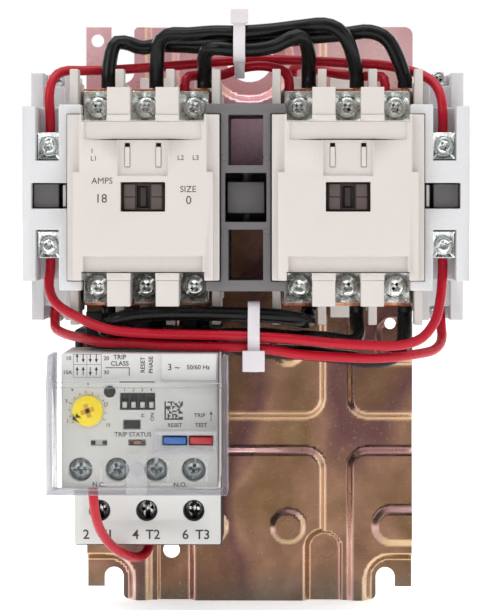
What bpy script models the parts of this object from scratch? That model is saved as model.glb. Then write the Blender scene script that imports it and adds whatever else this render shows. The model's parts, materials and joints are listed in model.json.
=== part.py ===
"""Open reversing magnetic motor starter: two contactors side by side on a pressed steel plate, with a
mechanical interlock between them, an auxiliary contact block on each outer side, an electronic overload
relay below the left contactor, and the power and control wiring.

Sizes are in millimetres. A place is written (x, d, z): x to the right, d out from the mounting panel and
z up from the middle of the plate. The world has +Z up, the front faces -Y, and the origin is on the panel
under the upper mounting foot."""

import math

import bmesh
import bpy
from mathutils import Vector

MM = 0.001
GAP = 0.3  # clearance between neighbouring pieces
ROUND_SIDES = 24

# Pressed steel plate
PLATE_HALF_WIDTH = 52.7
PLATE_HALF_HEIGHT = 92.9
SHEET = 1.6
RIB_FRONT = 5.0  # the bands between the raised pads
PAD_FRONT = 7.0
BOSS_FRONT = 8.1
OVAL_FRONT = 8.8
CHANNEL_FRONT = 3.6
UPPER_FOOT_Z = 83.0
UPPER_FOOT_NOTCH = 7.6
UPPER_FOOT_RADIUS = 12.0
ORIGIN_Z = UPPER_FOOT_Z - (UPPER_FOOT_NOTCH + UPPER_FOOT_RADIUS) / 2  # the middle of the foot's flat

# Contactors
CONTACTOR_X = 30.6  # each side of the middle
CONTACTOR_Z = 37.8
BASE_BACK = PAD_FRONT + GAP
COVER_BACK = 46.0
COVER_FLANGE = 87.0
COVER_FRONT = 90.0
COVER_HALF = 22.75
POLE_PITCH = 14.65
STRAP_BACK = 60.0
STRAP_FRONT = 61.3
TERMINAL_Z = 27.2  # screw centre from the contactor's middle
CONTACT_TRAVEL = 5.0

# Interlock
FRAME_HALF = 7.5
FRAME_FRONT = 85.0
ROCKER_D = 71.5
ROCKER_Z = 37.65

# Auxiliary contact blocks
AUX_INNER = 53.65
AUX_OUTER = 67.0
AUX_FRONT = 84.0

# Overload relay
RELAY_X = -31.35
RELAY_LEFT = -54.8
RELAY_RIGHT = -8.2
RELAY_TOP = -8.9
RELAY_BOTTOM = -48.9
RELAY_FRONT = 92.0
RELAY_SPLIT = 44.3
BUTTON_Z = -34.8
SWITCH_PITCH = 2.67
SWITCH_X = -36.0
SWITCH_Z = -24.2
DIAL = (-47.0, -25.9)

# Wiring
POWER_WIRE = 4.5
CONTROL_WIRE = 3.0
WIRE_SIDE = 3.0  # a conductor sits beside the terminal screw
WIRE_STUB = 1.5  # the straight end of a conductor
POWER_D = 63.9


def clear_scene():
    for old in list(bpy.data.objects):
        bpy.data.objects.remove(old, do_unlink=True)


def material(name, colour, roughness, metallic=0.0):
    made = bpy.data.materials.new(name)
    made.use_nodes = True
    shader = made.node_tree.nodes["Principled BSDF"]
    shader.inputs["Base Color"].default_value = (*colour, 1.0)
    shader.inputs["Roughness"].default_value = roughness
    shader.inputs["Metallic"].default_value = metallic
    return made


def point(x, d, z):
    return Vector((x, -d, z)) * MM


def object_from(shape, name):
    bmesh.ops.recalc_face_normals(shape, faces=shape.faces)
    mesh = bpy.data.meshes.new(name)
    shape.to_mesh(mesh)
    shape.free()
    made = bpy.data.objects.new(name, mesh)
    bpy.context.scene.collection.objects.link(made)
    made.parent = ROOT
    return made


def extruded(outline, along, length):
    """A closed outline of world points, pulled along a vector: the basic solid here."""
    shape = bmesh.new()
    face = shape.faces.new([shape.verts.new(p) for p in outline])
    pulled = bmesh.ops.extrude_face_region(shape, geom=[face])
    moved = [v for v in pulled["geom"] if isinstance(v, bmesh.types.BMVert)]
    bmesh.ops.translate(shape, verts=moved, vec=along * length * MM)
    return object_from(shape, "shape")


OUTWARD = Vector((0.0, -1.0, 0.0))
RIGHT = Vector((1.0, 0.0, 0.0))
UP = Vector((0.0, 0.0, 1.0))


def box(x, d, z):
    """x, d and z are (low, high) pairs."""
    corners = [(x[0], z[0]), (x[1], z[0]), (x[1], z[1]), (x[0], z[1])]
    return extruded([point(cx, d[0], cz) for cx, cz in corners], OUTWARD, d[1] - d[0])


def plate_shape(outline, d):
    """An (x, z) outline between two depths."""
    return extruded([point(x, d[0], z) for x, z in outline], OUTWARD, d[1] - d[0])


def side_shape(outline, x):
    """A (d, z) outline between two x."""
    return extruded([point(x[0], d, z) for d, z in outline], RIGHT, x[1] - x[0])


def circle(centre, radius, sides=ROUND_SIDES, start=0.0, turn=360.0):
    steps = sides if turn >= 360.0 else sides + 1
    angles = [math.radians(start + turn * i / sides) for i in range(steps)]
    return [(centre[0] + radius * math.cos(a), centre[1] + radius * math.sin(a)) for a in angles]


def pin(x, z, radius, d, sides=ROUND_SIDES):
    """A round bar pointing out of the panel."""
    return plate_shape(circle((x, z), radius, sides), d)


def post(x, d, radius, z, sides=ROUND_SIDES):
    """A round bar standing upright."""
    outline = [point(cx, cd, z[0]) for cx, cd in circle((x, d), radius, sides)]
    return extruded(outline, UP, z[1] - z[0])


def mirrored(pair, side):
    """A (low, high) range given for the right side, on the side wanted."""
    return pair if side > 0 else (-pair[1], -pair[0])


def rounded(x, z, radius, steps=4):
    """A rectangle with round corners, as an (x, z) outline."""
    corners = [(x[1], z[0], 270), (x[1], z[1], 0), (x[0], z[1], 90), (x[0], z[0], 180)]
    outline = []
    for cx, cz, start in corners:
        inside = (cx - math.copysign(radius, cx - sum(x) / 2), cz - math.copysign(radius, cz - sum(z) / 2))
        outline += circle(inside, radius, steps, start, 90.0)
    return outline


def tapered(back_outline, back, front_outline, front):
    """A solid between two outlines with the same number of points."""
    shape = bmesh.new()
    rings = []
    for outline, d in ((back_outline, back), (front_outline, front)):
        rings.append([shape.verts.new(point(x, d, z)) for x, z in outline])
    shape.faces.new(rings[0])
    shape.faces.new(rings[1][::-1])
    count = len(back_outline)
    for i in range(count):
        j = (i + 1) % count
        shape.faces.new((rings[0][i], rings[0][j], rings[1][j], rings[1][i]))
    return object_from(shape, "shape")


def boolean(target, operation, pieces):
    """One Boolean modifier with all the pieces, which stay as hidden wire guides."""
    if not pieces:
        return
    group = bpy.data.collections.new(target.name + "_" + operation.lower())
    for piece in pieces:
        piece.name = group.name
        piece.hide_render = True
        piece.display_type = "WIRE"
        group.objects.link(piece)
    modifier = target.modifiers.new(operation.title(), "BOOLEAN")
    modifier.operation = operation
    modifier.operand_type = "COLLECTION"
    modifier.collection = group
    modifier.solver = "EXACT"


def part(name, look, solids, cuts=(), within=(), holes=(), origin=(0.0, 0.0, 0.0)):
    """Joins the solids, takes the cuts away, keeps what is within, then drills the holes. The object's own
    origin goes to the given place, which is on the joint's axis for a moving piece."""
    made = solids[0]
    made.name = name
    made.data.name = name
    made.data.materials.append(look)
    boolean(made, "UNION", list(solids[1:]))
    boolean(made, "DIFFERENCE", list(cuts))
    boolean(made, "INTERSECT", list(within))
    if holes:
        boolean(made, "DIFFERENCE", list(holes))
    place = point(*origin)
    for vertex in made.data.vertices:
        vertex.co -= place
    made.location = place
    return made


def smooth_route(route, spacing):
    """Evenly spaced points on a smooth curve through the route's points, in mm."""
    stops = [Vector(p) for p in route]
    stops = [2 * stops[0] - stops[1]] + stops + [2 * stops[-1] - stops[-2]]
    fine = []
    for i in range(1, len(stops) - 2):
        before, a, b, after = stops[i - 1 : i + 3]
        for step in range(20):
            t = step / 20
            fine.append(
                0.5
                * (
                    2 * a
                    + (b - before) * t
                    + (2 * before - 5 * a + 4 * b - after) * t * t
                    + (3 * a - before - 3 * b + after) * t**3
                )
            )
    fine.append(stops[-2])
    total = sum((q - p).length for p, q in zip(fine, fine[1:]))
    count = max(2, round(total / spacing))
    wanted = [total * i / count for i in range(count)]
    points, walked, here = [], 0.0, 0
    for target in wanted:
        while walked + (fine[here + 1] - fine[here]).length < target:
            walked += (fine[here + 1] - fine[here]).length
            here += 1
        step = fine[here + 1] - fine[here]
        points.append(fine[here] + step * ((target - walked) / step.length))
    first = fine[0] + (stops[2] - stops[1]).normalized() * WIRE_STUB
    last = fine[-1] + (stops[-3] - stops[-2]).normalized() * WIRE_STUB
    return [fine[0], first] + points[1:] + [last, fine[-1]]


WIRE_PATHS = {}


def crossing(name, x, diameter):
    """Where a wire passes an upright plane at x: its depth, height and radius."""
    for a, b in zip(WIRE_PATHS[name], WIRE_PATHS[name][1:]):
        if (a.x - x) * (b.x - x) <= 0 and a.x != b.x:
            place = a.lerp(b, (x - a.x) / (b.x - a.x))
            return (place.y, place.z, diameter / 2)
    raise ValueError(name + " doesn't reach that plane")


def wire(name, look, route, diameter, spacing):
    """An insulated wire along the route, as a round tube with closed ends."""
    curve = bpy.data.curves.new(name, "CURVE")
    curve.dimensions = "3D"
    curve.bevel_depth = diameter / 2 * MM
    curve.bevel_resolution = 2
    curve.use_fill_caps = True
    points = smooth_route(route, spacing)
    WIRE_PATHS[name] = points
    spline = curve.splines.new("POLY")
    spline.points.add(len(points) - 1)
    for target, (x, d, z) in zip(spline.points, points):
        target.co = (*point(x, d, z), 1.0)
    curve.materials.append(look)
    made = bpy.data.objects.new(name, curve)
    bpy.context.scene.collection.objects.link(made)
    made.parent = ROOT
    return made


# ---------------------------------------------------------------- pressed steel plate


def raised(x, z, radius, front, taper, level=RIB_FRONT):
    """A pressed-out area: the block that stands forward and the hollow it leaves at the back."""
    grown = lambda by: rounded((x[0] - by, x[1] + by), (z[0] - by, z[1] + by), radius + by)
    block = tapered(grown(taper), level - 0.1, grown(0.0), front)
    hollow = tapered(grown(taper - 1.0), level - SHEET - 0.1, grown(-1.0), front - SHEET)
    return block, hollow


def raised_boss(centre, radius, front, taper):
    """A round pressed-out area on a pad, with its hollow."""
    grown = lambda by: circle(centre, radius + by)
    block = tapered(grown(taper), PAD_FRONT - 0.1, grown(0.0), front)
    hollow = tapered(grown(taper - 1.0), PAD_FRONT - SHEET - 0.1, grown(-1.0), front - SHEET)
    return block, hollow


def dish(x, z, radius, floor_front, taper, wall):
    """A pressed-in area: the bulge it makes at the back and the pocket it leaves at the front."""
    grown = lambda by: rounded((x[0] - by, x[1] + by), (z[0] - by, z[1] + by), radius + by)
    bulge = tapered(grown(wall), floor_front - SHEET, grown(wall + taper), PAD_FRONT - SHEET + 0.1)
    pocket = tapered(grown(0.0), floor_front, grown(taper * 1.05), PAD_FRONT + 0.1)
    return bulge, pocket


def round_dish(centre, radius, floor_front, taper, wall):
    back, front = floor_front - SHEET, PAD_FRONT + 0.1
    bulge = tapered(circle(centre, radius + wall), back, circle(centre, radius + wall + taper), front - SHEET)
    pocket = tapered(circle(centre, radius), floor_front, circle(centre, radius + taper), front)
    return bulge, pocket


def plate_outline():
    """The blank's outline: a slotted foot at each lower corner, a notch at the top middle for the upper
    screw, and a slot beside the upper left tab."""
    w, h = PLATE_HALF_WIDTH, PLATE_HALF_HEIGHT
    slot_x, slot_top, slot = 44.2, -85.6, 3.1
    foot_end = -88.8
    outline = [(-w, foot_end), (-slot_x - slot, foot_end)]
    outline += circle((-slot_x, slot_top), slot, 8, 180.0, -180.0)
    outline += circle((-slot_x + slot + 1.6, -h + 1.6), 1.6, 3, 180.0, 90.0)
    outline += circle((slot_x - slot - 1.6, -h + 1.6), 1.6, 3, 270.0, 90.0)
    outline += circle((slot_x, slot_top), slot, 8, 180.0, -180.0)
    outline += [(slot_x + slot, foot_end), (w, foot_end)]
    outline += circle((w - 2.6, h - 2.6), 2.6, 4, 0.0, 90.0)
    outline += [(UPPER_FOOT_NOTCH, h)]
    outline += circle((0.0, UPPER_FOOT_Z), UPPER_FOOT_NOTCH, 12, 0.0, -180.0)
    outline += [(-UPPER_FOOT_NOTCH, h)]
    outline += circle((-37.2 + 1.5, h - 1.5), 1.5, 3, 90.0, 90.0)
    outline += circle((-40.9, 78.5), 3.7, 8, 0.0, -180.0)
    outline += [(-44.6, h), (-w, h)]
    return outline


def baseplate(look):
    w, h = PLATE_HALF_WIDTH, PLATE_HALF_HEIGHT
    edge = 8.0  # pressed areas run past the blank's edge and are trimmed with it
    made = box((-w - 1, w + 1), (RIB_FRONT - SHEET, RIB_FRONT), (-h - 1, h + 1))
    made.name = made.data.name = "baseplate"
    made.data.materials.append(look)
    columns = [(-w - edge, -33.9), (-22.4, 22.4), (33.9, w + edge)]
    rows = [(-h - edge, -45.4), (-31.5, h + edge)]
    pads = [raised(x, z, 4.4, PAD_FRONT, 2.7) for x in columns for z in rows]
    places = [(-12.5, -68.8), (12.5, -68.8), (12.7, -10.8)]
    bosses = [raised_boss(place, 4.1, BOSS_FRONT, 2.0) for place in places]
    bosses.append(raised((42.2, w + edge), (-72.4, -64.6), 3.8, OVAL_FRONT, 3.0, PAD_FRONT))
    bosses.append(raised((43.0, w + edge), (-14.2, -2.9), 3.0, OVAL_FRONT, 2.3, PAD_FRONT))
    channels = [(20.0, 28.8), (-28.8, -20.0)]
    dishes = [
        dish((-w - edge, -39.7), (-h - edge, -80.2), 6.0, SHEET, 3.0, 1.4),
        dish((39.7, w + edge), (-h - edge, -80.2), 6.0, SHEET, 3.0, 1.4),
        round_dish((0.0, UPPER_FOOT_Z), UPPER_FOOT_RADIUS, SHEET, 2.6, 1.4),
    ]
    dishes += [dish(x, (-h - edge, -71.6), 4.1, CHANNEL_FRONT, 2.6, 1.0) for x in channels]
    proud = (RIB_FRONT, PAD_FRONT + 1)
    bands = [box(x, proud, (-h - 2, h + 2)) for x in ((25.1, 31.2), (-31.2, -25.1))]
    pressed = pads + bosses
    boolean(made, "UNION", [block for block, _ in pressed])
    boolean(made, "DIFFERENCE", [hollow for _, hollow in pressed])
    boolean(made, "UNION", [bulge for bulge, _ in dishes])
    boolean(made, "DIFFERENCE", [pocket for _, pocket in dishes] + bands)
    boolean(made, "INTERSECT", [plate_shape(plate_outline(), (-1, OVAL_FRONT + 1))])
    holes = [((-25.4, -76.7), 2.7), ((45.5, -2.8), 1.8), ((-49.0, 88.5), 2.05)]
    boolean(made, "DIFFERENCE", [pin(x, z, hole, (-1, 9)) for (x, z), hole in holes])


# ---------------------------------------------------------------- contactors


def poles(cx):
    return [cx + POLE_PITCH * i for i in (-1, 0, 1)]


def bays(cx):
    """The three terminal bays between the fins, as x ranges."""
    return [(cx - 20.2, cx - 8.95), (cx - 6.35, cx + 6.35), (cx + 8.95, cx + 20.2)]


def ends():
    """The line end and the load end: +1 is up, -1 is down."""
    return (("line", 1), ("load", -1))


def span(near, far, end):
    """A z range out from the contactor's middle, towards one end."""
    low, high = sorted((CONTACTOR_Z + end * near, CONTACTOR_Z + end * far))
    return (low, high)


def contactor_cover(name, cx, look):
    z = CONTACTOR_Z
    wide = lambda half: (cx - half, cx + half)
    solids = [
        box(wide(COVER_HALF), (COVER_BACK, COVER_FLANGE), (z - 25.0, z + 24.6)),
        box(wide(21.0), (COVER_FLANGE - 1, COVER_FRONT), (z - 25.0, z + 7.4)),
        box(wide(19.0), (COVER_FLANGE - 1, COVER_FRONT), (z + 6.9, z + 24.6)),
    ]
    for side in (-1, 1):
        x = lambda low, high: tuple(sorted((cx + side * low, cx + side * high)))
        solids.append(box(x(3.8, 10.7), (79.0, COVER_FRONT - 0.4), (z - 32.7, z + 32.7)))
        solids.append(box(x(6.35, 8.95), (COVER_BACK, 79.5), (z - 32.7, z + 32.7)))
        for near, far in ((6.35, 8.95), (20.2, COVER_HALF)):
            solids.append(box(x(near, far), (COVER_BACK, 75.0), (z - 35.0, z + 35.0)))
            solids.append(box(x(near, far), (66.0, 75.0), (z - 38.7, z + 38.7)))
    cuts = [
        box(wide(19.4), (COVER_BACK - 1, 80.0), (z - 17.0, z + 17.0)),
        box(wide(6.65), (79.0, COVER_FRONT + 1), (z - 4.4, z + 4.4)),
        box(wide(17.5), (COVER_FRONT - 0.8, COVER_FRONT + 1), (z + 17.2, z + 22.2)),
        box(wide(7.4), (COVER_FRONT - 1.2, COVER_FRONT + 1), (z + 6.3, z + 17.0)),
        box(wide(17.8), (COVER_FRONT - 1.5, COVER_FRONT + 1), (z - 22.4, z - 17.7)),
    ]
    windows = [(cx - 18.3, cx - 10.8), (cx - 3.7, cx + 3.7), (cx + 10.8, cx + 18.3)]
    for _, end in ends():
        cuts += [box(bay, (COVER_BACK - 1, 79.0), span(22.7, 26.0, end)) for bay in bays(cx)]
        cuts += [box(window, (COVER_BACK - 1, COVER_FRONT + 1), span(22.7, 26.0, end)) for window in windows]
        for pole in poles(cx):
            slot = (STRAP_BACK - GAP, STRAP_FRONT + GAP)
            cuts.append(box((pole - 4.8, pole + 4.8), slot, span(16.5, 23.5, end)))
    for side in (-1, 1):
        x = tuple(sorted((cx + side * 3.9, cx + side * 5.4)))
        cuts.append(box(x, (COVER_FRONT - 5, COVER_FRONT + 1), (z + 8.9, z + 16.1)))
    part(name, look, solids, cuts)


def contactor_base(name, cx, look):
    """The body behind the cover, with a mounting foot at each end and the coil's terminal at the top."""
    z = CONTACTOR_Z
    coil_x = cx - math.copysign(16.6, cx)
    solids = [
        box((cx - 22.4, cx + 22.4), (BASE_BACK, COVER_BACK - GAP), (z - 32.3, z + 32.3)),
        box((cx - 4.5, cx + 4.5), (BASE_BACK, 12.0), (z - 38.5, z + 38.5)),
        box((coil_x - 2.6, coil_x + 2.6), (30.0, COVER_BACK - 0.6), (z + 31.0, z + 37.5)),
    ]
    cuts = [box((cx - 19.0, cx + 19.0), (BASE_BACK + 2.2, COVER_BACK + 1), (z - 22.0, z + 22.0))]
    for _, end in ends():
        for low, high in bays(cx):
            seat = (COVER_BACK - 1, STRAP_BACK - GAP)
            solids.append(box((low + GAP, high - GAP), seat, span(23.0, 32.6, end)))
        for pole in poles(cx):
            cuts.append(pin(pole, CONTACTOR_Z + end * TERMINAL_Z, 2.2, (48.0, STRAP_BACK), 12))
    part(name, look, solids, cuts)


def magnet_core(name, cx, look):
    z = CONTACTOR_Z
    back = BASE_BACK + 2.2 + GAP
    solids = [box((cx - 9.0, cx + 9.0), (back, back + 7.0), (z - 19.0, z + 19.0))]
    for low, high in ((-19.0, -13.0), (-4.5, 4.5), (13.0, 19.0)):
        solids.append(box((cx - 9.0, cx + 9.0), (back + 6.0, 34.0), (z + low, z + high)))
    part(name, look, solids)


def coil(name, cx, look):
    z = CONTACTOR_Z
    back = BASE_BACK + 2.2 + 7.0 + 2 * GAP
    bobbin = box((cx - 15.0, cx + 15.0), (back, 33.7), (z - 12.7, z + 12.7))
    hole = box((cx - 9.3, cx + 9.3), (back - 1, 35.0), (z - 4.8, z + 4.8))
    part(name, look, [bobbin], [hole])


def armature(name, cx, look):
    z = CONTACTOR_Z
    bar = box((cx - 9.0, cx + 9.0), (34.0 + CONTACT_TRAVEL + GAP, 45.4), (z - 19.0, z + 19.0))
    part(name, look, [bar], origin=(cx, 45.4, z))


def carrier(name, cx, look):
    """The contact carrier: its front shows in the cover's window, and each pole has a bridge that closes
    on the two straps when it is pushed in."""
    z = CONTACTOR_Z
    bridge_back = STRAP_FRONT + CONTACT_TRAVEL + GAP
    solids = [
        box((cx - 17.8, cx + 17.8), (56.0, 70.0), (z - 5.0, z + 5.0)),
        box((cx - 10.0, cx + 10.0), (45.7, 57.0), (z - 5.0, z + 5.0)),
        box((cx - 6.3, cx + 6.3), (69.0, 86.5), (z - 4.1, z + 4.1)),
    ]
    for pole in poles(cx):
        solids.append(box((pole - 2.6, pole + 2.6), (bridge_back, bridge_back + 1.6), (z - 13.6, z + 13.6)))
    groove = box((cx - 1.9, cx + 1.9), (84.0, 88.0), (z - 3.3, z + 3.3))
    part(name, look, solids, [groove], origin=(cx, 86.5, z))


def power_terminal(name, pole, end, look):
    """A contact strap with its wire clamp and screw."""
    z = CONTACTOR_Z + end * TERMINAL_Z
    solids = [
        box((pole - 4.4, pole + 4.4), (STRAP_BACK, STRAP_FRONT), span(8.0, 33.2, end)),
        box((pole - 4.4, pole + 4.4), (STRAP_FRONT - 0.1, 66.0), span(23.2, 31.4, end)),
        pin(pole, z, 3.3, (65.9, 69.4), 16),
        pin(pole, z, 1.9, (49.0, 60.5), 12),
    ]
    slot = box((pole - 0.5, pole + 0.5), (68.4, 70.0), (z - 4.0, z + 4.0))
    part(name, look, solids, [slot])


def contactor(prefix, cx, looks):
    contactor_base(prefix + "_base", cx, looks["cover"])
    magnet_core(prefix + "_core", cx, looks["iron"])
    coil(prefix + "_coil", cx, looks["coil"])
    armature(prefix + "_armature", cx, looks["iron"])
    carrier(prefix + "_carrier", cx, looks["brown"])
    contactor_cover(prefix + "_cover", cx, looks["cover"])
    for end_name, end in ends():
        for number, pole in enumerate(poles(cx), 1):
            power_terminal(f"{prefix}_{end_name}_terminal_{number}", pole, end, looks["zinc"])


# ---------------------------------------------------------------- mechanical interlock


def interlock(looks):
    arms = [(62.7, 65.7), (9.5, 12.5)]
    solids = [box((-FRAME_HALF, FRAME_HALF), (40.0, FRAME_FRONT), (9.5, 65.7))]
    solids += [box((-12.0, 12.0), (76.0, FRAME_FRONT), arm) for arm in arms]
    well = (30.3, 45.0)
    cuts = [
        box((-5.2, 5.2), (39.0, FRAME_FRONT + 1), (47.3, 62.4)),
        box((-5.2, 5.2), (39.0, FRAME_FRONT + 1), (12.8, 28.0)),
        box((-6.2, 6.2), (58.0, FRAME_FRONT + 1), well),
        post(0.0, ROCKER_D, 1.6, (29.0, 46.3), 12),
    ]
    part("interlock_frame", looks["grey"], solids, cuts)
    block = box((-5.6, 5.6), (64.0, 79.0), (32.9, 42.4))
    pivot = post(0.0, ROCKER_D, 1.3, (29.3, 46.0), 12)
    part("interlock_rocker", looks["grey"], [block, pivot], origin=(0.0, ROCKER_D, ROCKER_Z))


# ---------------------------------------------------------------- auxiliary contact blocks


def aux_block(prefix, side, looks):
    x = lambda low, high: mirrored((low, high), side)
    channel = x(56.1, 63.1)
    deep_channel = x(56.1, 62.6)
    solids = [
        box(x(AUX_INNER, 66.5), (12.0, 58.0), (0.0, 76.0)),
        box(x(AUX_INNER, AUX_OUTER), (57.0, AUX_FRONT), (12.5, 65.0)),
        box(x(49.3, AUX_INNER + 1), (76.0, AUX_FRONT), (62.7, 65.5)),
        box(x(49.3, AUX_INNER + 1), (76.0, AUX_FRONT), (9.7, 12.5)),
        box(x(AUX_INNER, 56.0), (76.0, AUX_FRONT), (9.7, 13.5)),
        box(x(AUX_INNER, 56.0), (76.0, AUX_FRONT), (62.7, 65.5)),
    ]
    cuts = [
        box(channel, (74.0, AUX_FRONT + 1), (48.7, 66.0)),
        box(channel, (66.0, AUX_FRONT + 1), (57.0, 66.0)),
        box(channel, (74.0, AUX_FRONT + 1), (11.5, 27.9)),
        box(channel, (66.0, AUX_FRONT + 1), (11.5, 19.6)),
        box(x(AUX_INNER - 1, 64.3), (60.0, AUX_FRONT + 1), (34.3, 42.0)),
        box(deep_channel, (44.0, 60.0), (72.0, 77.0)),
        box(deep_channel, (56.0, 60.0), (65.3, 77.0)),
        box(deep_channel, (44.0, 60.0), (-1.0, 4.3)),
        box(deep_channel, (56.0, 60.0), (-1.0, 12.2)),
    ]
    part(prefix + "_aux_housing", looks["pale"], solids, cuts)
    plunger = [
        box(x(56.4, 63.9), (66.0, 80.0), (34.6, 41.7)),
        box(x(54.0, 57.0), (66.0, 70.0), (34.6, 41.7)),
        box(x(54.0, 55.0), (69.0, 79.0), (34.6, 41.7)),
    ]
    part(prefix + "_aux_plunger", looks["grey"], plunger, origin=(side * 60.15, 80.0, 38.15))


# ---------------------------------------------------------------- overload relay


def relay_base(look):
    solids = [box((-54.0, RELAY_RIGHT), (8.3, RELAY_SPLIT - GAP), (-71.0, -3.5))]
    cuts = [box((-52.0, -10.2), (10.0, RELAY_SPLIT + 1), (-51.0, -6.0))]
    for pole in poles(-CONTACTOR_X):
        solids.append(box((pole - 4.2, pole + 4.2), (RELAY_SPLIT - 2, COVER_BACK + 1), (-8.2, -0.1)))
        solids.append(box((pole - 4.2, pole + 4.2), (COVER_BACK, 61.0), (-8.2, 2.6)))
    for pole in poles(RELAY_X):
        cuts.append(box((pole - 5.2, pole + 5.2), (14.0, RELAY_SPLIT + 1), (-69.0, -53.0)))
        cuts.append(post(pole, 27.0, 3.4, (-72.0, -68.0), 16))
    part("overload_base", look, solids, cuts)


def relay_load_terminal(name, pole, look):
    solids = [
        box((pole - 4.9, pole + 4.9), (14.3, 36.0), (-68.7, -53.3)),
        pin(pole, -59.6, 3.0, (35.5, 41.0), 16),
    ]
    cuts = [
        post(pole, 27.0, 3.15, (-69.5, -56.0), 16),
        box((pole - 0.6, pole + 0.6), (39.8, 42.0), (-63.5, -55.7)),
    ]
    part(name, look, solids, cuts)


def current_transformers(look):
    block = box((-51.7, -10.5), (10.3, RELAY_SPLIT - 0.6), (-50.7, -6.3))
    bores = [post(pole, 27.0, 4.2, (-52.0, -5.0), 16) for pole in poles(RELAY_X)]
    slots = [
        box((pole - 7.7, pole - 7.0), (9.0, RELAY_SPLIT), (-45.0, -12.0)) for pole in poles(RELAY_X)[1:]
    ]
    part("overload_transformer_block", look, [block], bores + slots)


def relay_housing(look):
    face = RELAY_FRONT
    front = face + 2.5
    solids = [
        box((RELAY_LEFT, RELAY_RIGHT), (RELAY_SPLIT, face), (RELAY_BOTTOM, RELAY_TOP)),
        box((-53.9, -8.4), (RELAY_SPLIT, 50.0), (-70.1, RELAY_BOTTOM + 1)),
        box((-25.0, -8.6), (face - 1, face + 1.2), (-16.9, RELAY_TOP)),
    ]
    cuts = [
        pin(*DIAL, 5.0, (face - 5.0, front)),
        box((-37.3, -26.9), (face - 4.0, front), (-25.6, -20.6)),
        box((-36.4, -31.2), (face - 0.8, front), (-31.4, -28.6)),
        box((-34.8, -29.7), (face - 4.0, front), (-36.3, -34.5)),
        box((-46.1, -41.2), (face - 1.5, front), (-36.3, -34.7)),
        box((-27.0, -8.8), (face - 0.8, front), (-38.2, -31.6)),
        box((-24.7, -17.4), (face - 12.0, front), (BUTTON_Z - 1.35, BUTTON_Z + 1.35)),
        box((-16.8, -9.5), (face - 12.0, front), (BUTTON_Z - 1.35, BUTTON_Z + 1.35)),
        post(-46.1, 80.0, 2.1, (RELAY_BOTTOM - 1, RELAY_BOTTOM + 3), 12),
    ]
    cuts += [pin(x, -43.5, 3.6, (face - 9.0, front), 20) for x in (-49.2, -38.2, -26.7, -15.4)]
    cuts += [pin(pole, -59.6, 3.35, (RELAY_SPLIT - 1, 51.0), 20) for pole in poles(RELAY_X)]
    part("overload_housing", look, solids, cuts)


def relay_cover(look):
    """The clear cover: a front wall with open access to the buttons, two side walls that reach up past the
    dial, a ledge along the top and a short lip below."""
    left, right, wall = -59.0, -5.3, 1.6
    top, bottom, front = -17.3, -50.7, 98.0
    side = [(72.0, bottom), (front, bottom), (front, top), (92.0, -9.3), (72.0, -9.3)]
    solids = [
        box((left, right), (front - wall, front), (bottom, top)),
        side_shape(side, (left, left + wall)),
        side_shape(side, (right - wall, right)),
        box((left, right), (93.6, front), (top - wall, top)),
        box((left, right), (86.0, front), (bottom, bottom + 1.4)),
    ]
    access = box((-27.2, -8.4), (front - 3, front + 1), (-38.3, -31.5))
    part("overload_cover", look, solids, [access], origin=((left + right) / 2, front, (top + bottom) / 2))


def relay_controls(looks):
    face = RELAY_FRONT
    knob = [pin(*DIAL, 4.6, (face - 4.7, face + 1.0))]
    pointer = plate_shape(
        [(DIAL[0] - 3.9, DIAL[1] - 2.2), (DIAL[0] - 1.9, DIAL[1] - 2.0), (DIAL[0] - 3.3, DIAL[1] - 0.6)],
        (face + 0.3, face + 2),
    )
    part("overload_dial", looks["yellow"], knob, [pointer], origin=(DIAL[0], face, DIAL[1]))
    for name, low, high, look in (("reset", -24.4, -17.7, "blue"), ("test", -16.5, -9.8, "red")):
        body = box((low, high), (face - 9.0, face + 1.0), (BUTTON_Z - 1.0, BUTTON_Z + 1.0))
        place = ((low + high) / 2, face + 1.0, BUTTON_Z)
        part(f"overload_{name}_button", looks[look], [body], origin=place)
    for number in range(4):
        x = SWITCH_X + SWITCH_PITCH * number
        slider = box((x - 0.7, x + 0.7), (face - 3.7, face - 0.6), (SWITCH_Z - 0.9, SWITCH_Z + 0.9))
        part(f"overload_switch_{number + 1}", looks["white"], [slider], origin=(x, face - 0.6, SWITCH_Z))
    flag = box((-33.4, -31.1), (face - 3.7, face - 1.0), (-36.0, -34.8))
    part("overload_trip_flag", looks["orange"], [flag], origin=(-32.25, face - 1.0, -35.4))


# ---------------------------------------------------------------- wiring


def jumper_ends(pole_from, pole_to, end):
    """The two straight stretches that enter a terminal on the left and one on the right contactor."""
    z = lambda out: CONTACTOR_Z + end * out
    left = poles(-CONTACTOR_X)[pole_from - 1] + WIRE_SIDE
    right = poles(CONTACTOR_X)[pole_to - 1] + WIRE_SIDE
    start = [(left, POWER_D, z(33.3)), (left, POWER_D, z(36.0))]
    finish = [(right, POWER_D, z(36.0)), (right, POWER_D, z(33.3))]
    return start, finish


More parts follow.
